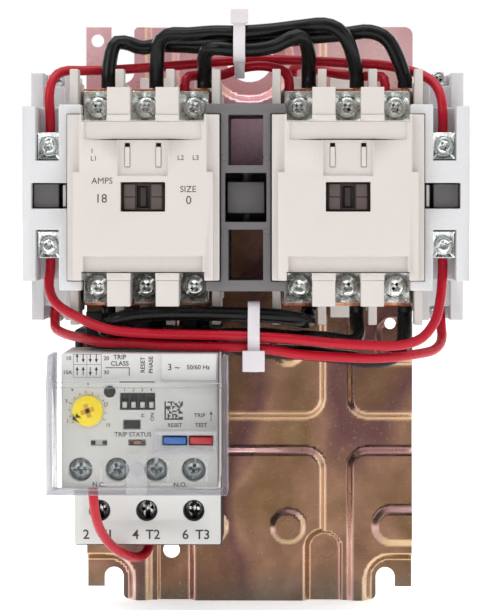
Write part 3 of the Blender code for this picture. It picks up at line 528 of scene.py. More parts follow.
def surroundings():
    """A pale room whose front side is darker, so that metal facing out keeps its depth."""
    world = bpy.data.worlds.new("studio")
    bpy.context.scene.world = world
    world.use_nodes = True
    tree = world.node_tree
    kinds = ("TexCoord", "SeparateXYZ", "MapRange", "MapRange", "Math", "LightPath", "Mix")
    place, split, front, height, product, path, mixed = [tree.nodes.new("ShaderNode" + k) for k in kinds]
    tree.links.new(place.outputs["Generated"], split.inputs[0])
    for target, source, values in (
        (front, "Y", (-0.985, -0.6, 0.04, 1.1)),
        (height, "Z", (-1.0, 1.0, 0.48, 0.78)),
    ):
        tree.links.new(split.outputs[source], target.inputs["Value"])
        for key, value in zip(("From Min", "From Max", "To Min", "To Max"), values):
            target.inputs[key].default_value = value
    product.operation = "MULTIPLY"
    tree.links.new(front.outputs[0], product.inputs[0])
    tree.links.new(height.outputs[0], product.inputs[1])
    mixed.data_type = "FLOAT"
    tree.links.new(path.outputs["Is Camera Ray"], mixed.inputs[0])
    tree.links.new(product.outputs[0], mixed.inputs[2])
    mixed.inputs[3].default_value = 1.0
    tree.links.new(mixed.outputs[0], tree.nodes["Background"].inputs["Strength"])
    tree.nodes["Background"].inputs["Color"].default_value = (1.0, 1.0, 1.0, 1.0)


def floor():
    """A pale floor just under the lower edge of the plate."""
    shape = bmesh.new()
    bmesh.ops.create_grid(shape, x_segments=12, y_segments=12, size=30.0)
    made = placed("floor", mesh_of("floor", shape))
    made.location = (0.0, 0.0, CAD_BOX[0].z - 0.0001)
    look = Look("floor")
    look.set(Base_Color=look.ramp(look.noise(3.0), (0.3, (0.9, 0.9, 0.9)), (0.7, (0.93, 0.93, 0.93))))
    look.set(Roughness=0.9, Emission_Color=(1.0, 1.0, 1.0), Emission_Strength=0.55)
    made.data.materials.append(look.material)


camera()
surroundings()
floor()
lamp("key", (-0.75, -1.0, 0.75), (0.9, 0.7), 4.2)
lamp("fill", (0.95, -0.9, 0.25), (0.8, 0.8), 1.8)
lamp("top", (0.0, -0.15, 0.95), (1.0, 0.5), 4.0)
lamp("back_left", (-0.8, 0.9, 0.5), (0.8, 0.6), 2.8)
lamp("back_right", (0.8, 0.9, 0.3), (0.8, 0.6), 2.4)
bpy.context.scene.view_settings.view_transform = "Standard"


# ---- pressed steel plate

SHEET = 1.6
BAND, PAD, BOSS, OVAL = 5.0, 7.0, 8.1, 8.8  # how far out the bands, pads, bosses and ovals stand
EDGE = 120.0  # past the blank's edge
PADS = [
    (x, z, 4.4, 2.7)
    for x in ((-EDGE, -33.9), (-22.4, 22.4), (33.9, EDGE))
    for z in ((-EDGE, -45.4), (-31.5, EDGE))
]
SUNK = [  # x and z of the floor, its corner radius, the width of its wall and its depth
    ((20.0, 28.8), (-EDGE, -71.6), 4.1, 2.6, 3.6),
    ((-28.8, -20.0), (-EDGE, -71.6), 4.1, 2.6, 3.6),
    ((-EDGE, -39.7), (-EDGE, -80.2), 6.0, 3.0, SHEET),
    ((39.7, EDGE), (-EDGE, -80.2), 6.0, 3.0, SHEET),
    ((-12.0, 12.0), (71.0, 95.0), 12.0, 2.6, SHEET),
]
BOSSES = [((-12.5, -68.8), 4.1, 2.0), ((12.5, -68.8), 4.1, 2.0), ((12.7, -10.8), 4.1, 2.0)]
OVALS = [((42.2, EDGE), (-72.4, -64.6), 3.8, 3.0), ((43.0, EDGE), (-14.2, -2.9), 3.0, 2.3)]


def rise(x, z, across, up, radius, wall):
    """1 inside an area with round corners, 0 past its wall, with a press tool's soft shoulders between."""
    dx = abs(x - sum(across) / 2) - ((across[1] - across[0]) / 2 - radius)
    dz = abs(z - sum(up) / 2) - ((up[1] - up[0]) / 2 - radius)
    away = math.hypot(max(dx, 0.0), max(dz, 0.0)) + min(max(dx, dz), 0.0) - radius
    t = min(1.0, max(0.0, away / wall))
    return 1.0 - t * t * (3.0 - 2.0 * t)


def pressed_depth(x, z):
    """How far out the front of the sheet stands."""
    depth = BAND + (PAD - BAND) * max(rise(x, z, *pad) for pad in PADS)
    for across, up, radius, wall, floor_d in SUNK:
        depth = min(depth, PAD - (PAD - floor_d) * rise(x, z, across, up, radius, wall))
    for (cx, cz), radius, wall in BOSSES:
        across, up = (cx - radius, cx + radius), (cz - radius, cz + radius)
        depth += (BOSS - PAD) * rise(x, z, across, up, radius, wall)
    for oval in OVALS:
        depth += (OVAL - PAD) * rise(x, z, *oval)
    return depth


def pressed_normal(x, z):
    step = 0.15
    slope_x = (pressed_depth(x + step, z) - pressed_depth(x - step, z)) / (2 * step)
    slope_z = (pressed_depth(x, z + step) - pressed_depth(x, z - step)) / (2 * step)
    return Vector((-slope_x, -1.0, -slope_z)).normalized()


def plate_outline():
    w, h = 52.7, 92.9
    outline = [(-w, -88.8), (-47.3, -88.8)] + circle((-44.2, -85.6), 3.1, 16, 180.0, -180.0)
    outline += circle((-39.5, -h + 1.6), 1.6, 5, 180.0, 90.0) + circle((39.5, -h + 1.6), 1.6, 5, 270.0, 90.0)
    outline += circle((44.2, -85.6), 3.1, 16, 180.0, -180.0) + [(47.3, -88.8), (w, -88.8)]
    outline += circle((w - 2.6, h - 2.6), 2.6, 6, 0.0, 90.0) + [(7.6, h)]
    outline += circle((0.0, 83.0), 7.6, 24, 0.0, -180.0) + [(-7.6, h)]
    outline += circle((-35.7, h - 1.5), 1.5, 5, 90.0, 90.0) + circle((-40.9, 78.5), 3.7, 16, 0.0, -180.0)
    return outline + [(-44.6, h), (-w, h)]


def baseplate():
    """A grid over both sides of the pressed sheet, cut to the blank's outline and drilled."""
    pitch, left, low = 0.8, -53.5, -94.0
    across, up = round(-2 * left / pitch), round(-2 * low / pitch)
    shape = bmesh.new()
    sides = []
    for back in (0.0, SHEET):
        rows = []
        for j in range(up + 1):
            z = low + j * pitch
            places = [left + i * pitch for i in range(across + 1)]
            rows.append([shape.verts.new(point(x, pressed_depth(x, z) - back, z)) for x in places])
        for lower, upper in zip(rows, rows[1:]):
            for i in range(across):
                shape.faces.new((lower[i], lower[i + 1], upper[i + 1], upper[i]))
        sides.append(rows)
    front, behind = sides
    rims = [(front[end], behind[end]) for end in (0, -1)]
    rims += [([row[end] for row in front], [row[end] for row in behind]) for end in (0, -1)]
    for near, far in rims:
        for i in range(len(near) - 1):
            shape.faces.new((near[i], near[i + 1], far[i + 1], far[i]))
    made = object_of("mounting_plate", shape)
    blank, holes = add_prism(bmesh.new(), plate_outline(), (-2.0, 9.0)), bmesh.new()
    for centre, radius in (((-25.4, -76.7), 2.7), ((45.5, -2.8), 1.8), ((-49.0, 88.5), 2.05)):
        add_prism(holes, circle(centre, radius), (-3.0, 10.0))
    dimple = add_prism(bmesh.new(), circle((25.0, -76.1), 3.1, 40), (3.15, 9.0))
    made = carve(carve(made, blank, operation="INTERSECT"), holes, dimple)
    pressed_shading(made.data)
    finish_piece(made, "yellow_zinc_steel", replaces=("baseplate",))
    stamps = bmesh.new()
    for centre, radius, _ in BOSSES:
        for inner, outer in ((0.0, radius * 0.36), (radius * 0.5, radius * 0.62)):
            profile = [(outer + 0.15, BOSS - 0.1), (outer, BOSS + 0.06), (inner + 0.15, BOSS + 0.06)]
            add_turned(stamps, centre, profile + [(inner + 0.02, BOSS - 0.1)])
    piece("plate_stamps", stamps, "yellow_zinc_steel", 0.0)


def pressed_shading(mesh):
    """Gives the faces of the sheet the smooth slopes of the pressing; cut edges stay flat."""
    mesh.shade_smooth()
    normals, known = [], {}
    for face in mesh.polygons:
        for index in face.vertices:
            if abs(face.normal.y) < 0.35:
                normals.append(face.normal.copy())
                continue
            if index not in known:
                place = mesh.vertices[index].co / MM
                known[index] = pressed_normal(place.x, place.z + ORIGIN_Z)
            normals.append(known[index] * (1.0 if face.normal.y < 0.0 else -1.0))
    mesh.normals_split_custom_set(normals)


baseplate()


# ---- contactors


def oblong(half_x, half_z, d):
    """The four corners of a rectangle round the world's origin."""
    corners = ((-half_x, -half_z), (half_x, -half_z), (half_x, half_z), (-half_x, half_z))
    return [point(x, d, z + ORIGIN_Z) for x, z in corners]


def pan_head():
    """A screw head with a straight slot and a cross recess, its face at d 0, as a mesh in metres."""
    radius, height, slot = 3.2, 2.6, 0.75
    head, slots = bmesh.new(), bmesh.new()
    profile = [(radius * 0.96, -height), (radius, -height * 0.85), (radius, -0.8), (radius * 0.93, -0.35)]
    profile += [(radius * 0.78, -0.1), (radius * 0.6, 0.0)]
    add_turned(head, (0.0, ORIGIN_Z), profile, 40)
    made = object_of("head", head)
    add_box(slots, (-radius - 1, radius + 1), (-0.9, 1.0), (ORIGIN_Z - slot / 2, ORIGIN_Z + slot / 2))
    arm = radius * 0.55
    for a, b in ((arm, slot * 0.62), (slot * 0.62, arm)):
        tool = bmesh.new()
        loft(tool, [oblong(a * 0.45, b * 0.45, -1.9), oblong(a * 1.1, b * 1.1, 0.3)])
        made = carve(made, tool)
    return evaluated(bevelled(carve(made, slots), 0.09))


HEAD = pan_head()


def add_mesh(shape, mesh, place, turn=0.0, scale=1.0):
    """Adds a mesh made round the origin, turned about the line out of the panel."""
    mesh = mesh.copy()
    turned = Matrix.Rotation(math.radians(turn), 4, "Y") @ Matrix.Scale(scale, 4)
    mesh.transform(Matrix.Translation(place) @ turned)
    shape.from_mesh(mesh)
    bpy.data.meshes.remove(mesh)


def saddle(half_x, half_z, d, dish):
    """A square wire clamp made round x 0, z 0: its face falls to the screw in four facets with a raised rib
    along each diagonal."""
    body, hollow = bmesh.new(), bmesh.new()
    add_prism(body, rounded((-half_x, half_x), (ORIGIN_Z - half_z, ORIGIN_Z + half_z), 0.5, 3), d)
    made = object_of("saddle", body)
    inner = oblong(half_x * 0.3, half_z * 0.3, d[1] - dish)
    loft(hollow, [inner, oblong(half_x + 0.1, half_z + 0.1, d[1] + 0.15)])
    grooves = bmesh.new()
    for middle in (-half_x * 0.5, half_x * 0.5):
        add_box(grooves, (middle - 0.5, middle + 0.5), (d[0] - 1, d[0] + 0.7), (0.0, 200.0))
    made = evaluated(bevelled(carve(carve(made, hollow), grooves), 0.1))
    shape = bmesh.new()
    shape.from_mesh(made)
    bpy.data.meshes.remove(made)
    for across, up in ((-1, -1), (1, -1), (1, 1), (-1, 1)):
        rib = []
        for out, level in ((0.5, d[1] - dish * 0.75), (0.97, d[1] + 0.15)):
            middle = Vector((across * half_x * out, ORIGIN_Z + up * half_z * out))
            over = Vector((-up * half_z, across * half_x)).normalized() * 0.55
            section = ((-1.0, level - 0.7), (1.0, level - 0.7), (0.4, level + 0.3), (-0.4, level + 0.3))
            rib.append([point(middle.x + over.x * k, at, middle.y + over.y * k) for k, at in section])
        loft(shape, rib)
    bmesh.ops.recalc_face_normals(shape, faces=shape.faces)
    return mesh_of("saddle", shape)


SADDLE = saddle(4.35, 4.6, (61.35, 66.9), 2.2)
AUX_SADDLE = saddle(3.3, 4.0, (74.0, 76.6), 0.9)
TURNS = random.Random(11)


def power_terminal(node, pole, end):
    """Clamp, screw and the copper strap below them, at the upper end (1) or the lower end (-1)."""
    z = CONTACTOR_Z + end * TERMINAL_Z
    shape = bmesh.new()
    add_mesh(shape, SADDLE, point(pole, 0.0, z + end * 0.45), 0.0 if end > 0 else 180.0)
    slot_turn = TURNS.uniform(40, 62) if end > 0 else TURNS.uniform(-60, -30)
    add_mesh(shape, HEAD, point(pole, 68.6, z), slot_turn)
    add_turned(shape, (pole, z), [(1.9, 49.0), (1.9, 66.2)], 20)
    made = object_of(node + "_clamp", shape)
    soften(made, 0.0)
    finish_piece(made, ZINC, replaces=(node,))
    up = sorted((CONTACTOR_Z + end * 8.0, CONTACTOR_Z + end * 33.2))
    strap = add_box(bmesh.new(), (pole - 4.6, pole + 4.6), (60.0, 61.3), up)
    piece(node + "_strap", strap, ZINC, 0.15, look=COPPER_LOOK)


def contactor(prefix, cx):
    """Skins, the carrier's columns and rib in the window, the slots above it with black backs painted as
    their shade, contact tips and terminals.
    """
    body = prefix + "_carrier"
    skin(prefix + "_cover", 0.3, 3)
    for node, width in (("base", 0.3), ("core", 0.2), ("coil", 0.5), ("armature", 0.2), ("carrier", 0.22)):
        skin(f"{prefix}_{node}", width)
    columns, rib, inside, tabs = bmesh.new(), bmesh.new(), bmesh.new(), bmesh.new()
    for side in (-1, 1):
        x = sorted((cx + side * 2.4, cx + side * 5.7))
        for z in ((CONTACTOR_Z - 3.8, CONTACTOR_Z - 0.07), (CONTACTOR_Z + 0.07, CONTACTOR_Z + 3.8)):
            add_box(columns, x, (86.0, 87.4), z)
        x = sorted((cx + side * 3.95, cx + side * 5.35))
        # painted shade: a black sheet deep in each slot stands for the shadow inside it
        add_box(inside, x, (85.2, 85.6), (CONTACTOR_Z + 8.95, CONTACTOR_Z + 16.05))
        add_box(tabs, x, (84.6, 89.3), (CONTACTOR_Z + 9.0, CONTACTOR_Z + 14.9))
    add_box(rib, (cx - 1.1, cx + 0.9), (83.5, 85.6), (CONTACTOR_Z - 3.0, CONTACTOR_Z + 3.0))
    piece(prefix + "_carrier_columns", columns, "brown_plastic", 0.25, 3, body, COLUMN_LOOK)
    piece(prefix + "_carrier_rib", rib, "brown_plastic", 0.3, 3, body)
    piece(prefix + "_slot_painted_shade", inside, "black_plastic", 0.0)
    piece(prefix + "_slot_tabs", tabs, "beige_plastic", 0.2, 3)
    tips = bmesh.new()
    for pole in poles(cx):
        for side in (-1, 1):
            profile = [(1.9, 66.3), (2.0, 66.5), (2.0, 66.65)]
            add_turned(tips, (pole, CONTACTOR_Z + side * 11.8), profile, 20)
    piece(prefix + "_contact_tips", tips, ZINC, 0.0, body=body)
    for end_name, end in (("line", 1), ("load", -1)):
        for number, pole in enumerate(poles(cx), 1):
            power_terminal(f"{prefix}_{end_name}_terminal_{number}", pole, end)


contactor("forward", -CONTACTOR_X)
contactor("reverse", CONTACTOR_X)
CONTACTOR_WORDS = [
    ("1", -45.7, 51.4, 1.35),
    ("L1", -45.2, 49.2, 1.45),
    ("L2", -19.3, 49.4, 1.45),
    ("L3", -14.8, 49.4, 1.45),
    ("AMPS", -42.7, 42.5, 1.85),
    ("18", -43.0, 37.2, 2.6),
    ("SIZE", -17.1, 40.0, 1.85),
    ("0", -16.9, 36.7, 2.5),
]
printed("contactor_marks", lettering(CONTACTOR_WORDS, 90.0))


# ---- interlock and auxiliary blocks


def interlock():
    """Frame, rocker and the four pins at the frame's corners."""
    skin("interlock_frame", 0.3, 3)
    skin("interlock_rocker", 0.4, 3)
    pins = bmesh.new()
    for x, z in ((-6.3, 49.6), (6.3, 49.6), (-6.3, 27.4), (6.3, 27.4)):
        add_turned(pins, (x, z), [(1.05, 84.5), (1.05, 85.1), (0.8, 85.35)], 24)
    piece("interlock_frame_pins", pins, "grey_plastic", 0.0)


def aux_block(prefix, side):
    """Skin, screws and clamps, and the pale bar beside the plunger."""
    skin(prefix + "_aux_housing", 0.35, 3)
    skin(prefix + "_aux_plunger", 0.3, 3)
    x = side * AUX_X
    shape = bmesh.new()
    for z, turn in ((53.2, 62), (23.4, -20)):
        add_mesh(shape, AUX_SADDLE, point(x, 0.0, z))
        add_mesh(shape, HEAD, point(x, 78.3, z), turn * side, 0.86)
    for z in (74.6, 1.6):
        add_mesh(shape, HEAD, point(side * 59.35, 47.6, z), 30, 0.8)
    piece(prefix + "_aux_screws", shape, ZINC, 0.0)
    bar = add_box(bmesh.new(), sorted((side * 54.2, side * 55.1)), (76.0, 80.3), (34.9, 41.4))
    piece(prefix + "_aux_bar", bar, "pale_grey_plastic", 0.15, body=prefix + "_aux_plunger")


interlock()
aux_block("left", -1)
aux_block("right", 1)


# ---- overload relay


def relay_screws():
    """The four control screws in their round bores, and the three load screws deep in theirs, with the deep
    screws and their bores painted dark as shade.
    """
    shape, deep = bmesh.new(), bmesh.new()
    for number, x in enumerate((-49.2, -38.2, -26.7, -15.4)):
        add_mesh(shape, HEAD, point(x, 87.6, -43.5), (0, -28, 90, 96)[number], 1.05)
    piece("overload_control_screws", shape, ZINC, 0.0, look=DULL_ZINC_LOOK)
    for turn, x in zip((-25, 35, 95), poles(RELAY_X)):
        add_mesh(deep, HEAD, point(x, 41.0, LOAD_Z), turn, 0.95)
    # painted shade: the load screws get a darkened zinc for the shade deep in their bores
    piece("overload_load_screws", deep, ZINC, 0.0, look=SHADED_ZINC_LOOK)
    # painted shade: black linings in the load bores stand for the shadow inside them
    bore_shade_tubes, sides = bmesh.new(), 32
    for x in poles(RELAY_X):
        section = [(3.3, 41.6), (3.3, 49.6), (2.9, 49.2), (2.9, 41.6)]
        rings = [[point(px, d, pz) for px, pz in circle((x, LOAD_Z), r, sides)] for r, d in section]
        band = [[bore_shade_tubes.verts.new(p) for p in each] for each in rings]
        for a, b in zip(band, band[1:] + band[:1]):
            for k in range(sides):
                after = (k + 1) % sides
                bore_shade_tubes.faces.new((a[k], a[after], b[after], b[k]))
    piece("overload_load_bore_shade", bore_shade_tubes, "black_plastic", 0.0)


def relay_windows():
    """Dark insets: the switch block, the status window, the indicator slots and the round lens."""
    face = RELAY_FACE
    dark, across, up, walls = bmesh.new(), (-37.2, -27.0), (-25.5, -20.7), (face - 3.9, face - 0.1)
    add_box(dark, across, (face - 4.0, face - 3.75), up)
    for x in (-37.05, -34.65, -32.0, -29.35, -26.95):
        add_box(dark, (x - 0.15, x + 0.15), walls, up)
    for z in (-25.35, -20.75):
        add_box(dark, across, walls, (z - 0.15, z + 0.15))
    piece("overload_switch_block", dark, "black_plastic", 0.05)
    lens = bmesh.new()
    add_prism(lens, rounded((-36.2, -31.4), (-31.2, -28.8), 0.3), (face - 0.9, face - 0.25))
    add_prism(lens, circle((-40.4, -20.2), 1.75), (face - 0.3, face + 0.35))
    piece("overload_lenses", lens, "black_plastic", 0.12, 3, look=LOOKS["black_insulation"])
    slots = bmesh.new()
    for x in (-45.4, -42.0):
        add_box(slots, (x - 0.65, x + 0.65), (face - 1.6, face - 1.3), (-36.1, -34.9))
    piece("overload_slots", slots, "black_plastic", 0.0)


def turned_bar(degrees, near, far, half):
    """The outline of a bar that points away from the middle of the dial."""
    way = Vector((math.cos(math.radians(degrees)), math.sin(math.radians(degrees))))
    over = Vector((-way.y, way.x)) * half
    corners = [way * near - over, way * far - over, way * far + over, way * near + over]
    return [(DIAL[0] + c.x, DIAL[1] + c.y) for c in corners]


def relay_print():
    """The switch table, words, dial scale and a made-up square code."""
    rows = [
        ("10", -52.7, -10.3, 1.15),
        ("10A", -53.0, -14.5, 1.15),
        ("20", -41.4, -10.3, 1.15),
        ("30", -41.4, -14.5, 1.15),
        ("TRIP", -37.4, -9.95, 1.35),
        ("CLASS", -37.4, -11.85, 1.35),
        ("RESET", -30.5, -12.2, 1.25, 90),
        ("PHASE", -28.1, -12.2, 1.25, 90),
        ("TRIP STATUS", -33.5, -33.0, 1.35),
        ("M", -30.5, -27.3, 1.0, 90),
        ("ON", -27.7, -27.7, 1.1, 90),
        ("TRIP", -13.6, -27.3, 1.2),
        ("RESET", -21.0, -30.2, 1.15),
        ("TEST", -13.2, -30.2, 1.15),
        ("N.C.", -43.7, -48.0, 1.4),
        ("N.O.", -19.4, -48.0, 1.4),
    ]
    rows += [(text, x, -19.6, 0.95) for text, x in zip("1234", (-36.0, -33.3, -30.7, -28.0))]
    scale = (("3", -53.3, -23.0), ("6", -51.5, -19.6), ("9", -46.9, -17.9), ("12", -41.6, -23.9))
    rows += [(*row, 1.0) for row in (*scale, ("1", -53.0, -29.0), ("15", -40.9, -30.2))]
    shape = lettering(rows, RELAY_FACE, 0.025)
    d = (RELAY_FACE, RELAY_FACE + 0.03)
    for x, upper_way, lower_way in ((-50.1, 1, 1), (-48.3, -1, 1), (-46.2, -1, -1), (-44.4, -1, 1)):
        for z, way in ((-10.2, upper_way), (-14.1, lower_way)):
            add_box(shape, (x - 0.13, x + 0.13), d, (z - 1.2, z + 1.2))
            tip = [(x - 0.5, z + way * 0.3), (x + 0.5, z + way * 0.3), (x, z + way * 1.35)]
            add_prism(shape, tip, d)
    for x in (-51.2, -47.2, -42.9):
        add_box(shape, (x - 0.05, x + 0.05), d, (-15.9, -9.0))
    for z in (-9.1, -12.1, -15.9):
        add_box(shape, (-51.2, -42.9), d, (z - 0.05, z + 0.05))
    add_box(shape, (-41.7, -34.5), d, (-13.2, -12.95))
    add_box(shape, (-34.7, -34.45), d, (-15.4, -12.95))
    add_box(shape, (-37.5, -27.0), d, (-17.4, -17.15))
    for step in range(13):
        add_prism(shape, turned_bar(218 - step * 20.5, 5.15, 6.0 if step % 3 == 0 else 5.7, 0.11), d)
    add_prism(shape, [(-10.65, -27.0), (-9.75, -27.0), (-10.2, -25.9)], d)
    add_box(shape, (-10.3, -10.1), d, (-29.0, -26.9))
    code, cell = random.Random(5), 0.46
    for i in range(12):
        for j in range(12):
            if i == 0 or j == 0 or code.random() < 0.48:
                x, z = -24.1 + i * cell, -28.6 + j * cell
                add_box(shape, (x, x + cell), d, (z, z + cell))
    printed("overload_marks", shape)
    below = (("2", -50.2), ("T1", -44.0), ("4", -34.8), ("T2", -29.4), ("6", -19.3), ("T3", -13.9))
    printed("overload_terminal_marks", lettering([(text, x, -67.2, 2.9) for text, x in below], 50.0, 0.06))
    label = [("3 ~", -21.3, -12.9, 1.9), ("50/60 Hz", -14.0, -12.9, 1.3)]
    printed("overload_label_marks", lettering(label, RELAY_FACE + 1.2, 0.03))


def relay_cover():
    """The clear cover, with the collar round its opening for the buttons, its latch and its raised ribs."""
    cover = skin("overload_cover", 0.35, 3)
    cover.data.materials.append(EDGE_LOOK)
    for face in cover.data.polygons:
        depth = -face.center.y / MM
        if abs(face.normal.y) < 0.7 or (face.normal.y > 0.7 and depth < 93.0):
            face.material_index = 1
    collar = bmesh.new()
    left, right, low, high, wall, d = -27.0, -8.6, -38.1, -31.7, 0.9, (93.4, 98.3)
    for x, z in (
        ((left, left + wall), (low, high)),
        ((right - wall, right), (low, high)),
        ((left + wall, right - wall), (low, low + wall)),
        ((left + wall, right - wall), (high - wall, high)),
    ):
        add_box(collar, x, d, z)
    piece("overload_cover_collar", collar, "clear_plastic", 0.2, 3, body="overload_cover", look=RIB_LOOK)
    latch = bmesh.new()
    add_prism(latch, rounded((-35.2, -29.1), (-50.3, -38.2), 0.9), (97.6, 98.5))
    add_prism(latch, circle((-32.1, -43.2), 2.3, 40), (98.2, 99.0))
    for x, z in (((-42.7, -36.0), -47.3), ((-28.2, -21.6), -47.3), ((-14.8, -8.0), -48.3)):
        add_box(latch, x, (97.6, 98.5), (z - 0.3, z + 0.3))
    for x in (-42.7, -22.9, -11.4):
        add_box(latch, (x - 0.3, x + 0.3), (97.6, 98.4), (-46.6, -40.2))
    piece("overload_cover_latch", latch, "clear_plastic", 0.25, 3, body="overload_cover", look=RIB_LOOK)


def relay_dial():
    """The arrow and the cross on the dial, and its seat."""
    x, z = DIAL
    tip = [(x - 3.9, z - 2.2), (x - 1.9, z - 2.0), (x - 3.3, z - 0.6)]
    arrow = add_prism(bmesh.new(), tip, (RELAY_FACE + 0.2, RELAY_FACE + 0.42))
    piece("overload_dial_arrow", arrow, "black_plastic", 0.0, body="overload_dial")
    cross = bmesh.new()
    for angle in (20, 110):
        add_prism(cross, turned_bar(angle, -2.1, 2.1, 0.7), (RELAY_FACE + 0.9, RELAY_FACE + 1.05))
    look = plastic("dial_cross", srgb(214, 160, 20), 0.4)
    piece("overload_dial_cross", cross, "yellow_plastic", 0.05, body="overload_dial", look=look)
    profile = [(5.05, RELAY_FACE - 2.0), (5.05, RELAY_FACE - 0.1), (4.62, RELAY_FACE - 0.1)]
    piece("overload_dial_seat", add_turned(bmesh.new(), DIAL, profile, 48), "white_plastic", 0.0)


def relay():
    for node, width in (("base", 0.4), ("housing", 0.3), ("transformer_block", 0.4)):
        skin("overload_" + node, width)
    for number in (1, 2, 3):
        skin(f"overload_load_terminal_{number}", 0.2)
        skin(f"overload_switch_{number}", 0.15)
    skin("overload_switch_4", 0.15)
    for node, width in (("dial", 0.3), ("reset_button", 0.3), ("test_button", 0.3), ("trip_flag", 0.15)):
        skin("overload_" + node, width, 3)
    relay_cover()
    relay_dial()
    relay_screws()
    relay_windows()
    relay_print()


relay()


# ---- wiring

WIRE_SIDE = 3.0  # a conductor sits beside the terminal screw
WIRE_STUB = 1.5  # the straight end of a conductor
POWER_D = 63.9  # the thick wires' ends


def smooth_route(route, spacing):
    """Evenly spaced points on a smooth curve through the route's points, in mm."""
    stops = [Vector(p) for p in route]
    stops = [2 * stops[0] - stops[1]] + stops + [2 * stops[-1] - stops[-2]]
    fine = []
    for i in range(1, len(stops) - 2):
        before, a, b, after = stops[i - 1 : i + 3]
        for step in range(20):
            t = step / 20
            square = (2 * before - 5 * a + 4 * b - after) * t * t
            cube = (3 * a - before - 3 * b + after) * t**3
            fine.append(0.5 * (2 * a + (b - before) * t + square + cube))
    fine.append(stops[-2])
    total = sum((q - p).length for p, q in zip(fine, fine[1:]))
    count = max(2, round(total / spacing))
    points, walked, here = [], 0.0, 0
    for target in [total * i / count for i in range(count)]:
        while walked + (fine[here + 1] - fine[here]).length < target:
            walked += (fine[here + 1] - fine[here]).length
            here += 1
        step = fine[here + 1] - fine[here]
        points.append(fine[here] + step * ((target - walked) / step.length))
    first = fine[0] + (stops[2] - stops[1]).normalized() * WIRE_STUB
    last = fine[-1] + (stops[-3] - stops[-2]).normalized() * WIRE_STUB
    return [fine[0], first] + points[1:] + [last, fine[-1]]


JUMPERS = {  # the left pole, the right pole, the end and the way between
    "line_jumper_1": (1, 3, 1, [
        (-42.0, 62.6, 79.0), (-40.6, 60.8, 84.6), (-37.0, 59.0, 85.2), (-32.5, 58.4, 83.7),
        (-27.0, 58.4, 84.4), (-19.0, 60.0, 84.2), (-12.0, 63.2, 83.8), (-1.5, 66.6, 84.8),
        (10.0, 64.2, 85.6), (20.0, 62.4, 86.8), (30.6, 61.8, 87.7), (37.3, 62.4, 88.4),
        (42.6, 63.0, 86.2), (45.8, 63.5, 81.0),
    ]),
    "line_jumper_2": (2, 2, 1, [
        (-27.4, 64.6, 79.0), (-26.6, 66.0, 85.0), (-23.4, 67.8, 87.2), (-17.5, 69.0, 87.2),
        (-10.0, 70.0, 87.7), (-1.5, 71.4, 87.6), (8.0, 69.6, 88.4), (16.6, 67.2, 89.6),
        (23.6, 67.8, 90.2), (28.2, 68.4, 88.4), (31.3, 67.6, 84.0), (33.0, 65.2, 78.0),
    ]),
    "line_jumper_3": (3, 1, 1, [
        (-12.8, 66.0, 76.5), (-12.6, 70.6, 81.0), (-10.2, 74.0, 82.8), (-4.0, 73.8, 82.4),
        (3.0, 73.2, 82.4), (9.0, 73.0, 83.6), (13.4, 73.2, 85.8), (17.0, 71.6, 86.2),
        (18.8, 67.8, 82.0), (18.9, 65.0, 77.0),
    ]),
    "load_jumper_1": (1, 1, -1, [
        (-42.5, 66.4, -1.4), (-42.7, 73.0, -2.8), (-41.6, 78.6, -1.2), (-37.4, 80.6, 1.4),
        (-29.0, 80.8, 2.6), (-15.0, 80.8, 2.8), (0.0, 80.6, 2.4), (9.0, 80.2, 2.0),
        (14.4, 79.0, 1.2), (17.8, 74.6, 0.2), (18.9, 68.4, 0.0),
    ]),
    "load_jumper_2": (2, 2, -1, [
        (-27.6, 65.2, -2.2), (-25.4, 70.0, -4.8), (-18.0, 74.2, -4.4), (-6.0, 75.2, -4.0),
        (5.4, 75.0, -4.0), (17.0, 73.6, -4.8), (26.0, 74.0, -5.2), (31.4, 72.6, -6.2),
        (33.8, 68.2, -4.4), (33.7, 65.0, -0.2),
    ]),
    "load_jumper_3": (3, 3, -1, [
        (-12.95, 64.0, -0.6), (-12.5, 64.8, -3.8), (-8.0, 67.0, -6.4), (-1.0, 68.8, -8.4),
        (7.0, 69.4, -9.2), (18.0, 69.4, -9.6), (30.0, 69.2, -11.0), (38.0, 69.0, -12.0),
        (45.0, 68.0, -10.8), (48.0, 66.2, -5.8), (48.2, 64.6, 0.0),
    ]),
}


def jumper_route(pole_from, pole_to, end, middle):
    """The way between, with the straight stretches that enter a terminal on each contactor."""
    clamp, open_air = CONTACTOR_Z + end * 33.3, CONTACTOR_Z + end * 36.0
    left = poles(-CONTACTOR_X)[pole_from - 1] + WIRE_SIDE
    right = poles(CONTACTOR_X)[pole_to - 1] + WIRE_SIDE
    start = [(left, POWER_D, clamp), (left, POWER_D, open_air)]
    return start + middle + [(right, POWER_D, open_air), (right, POWER_D, clamp)]


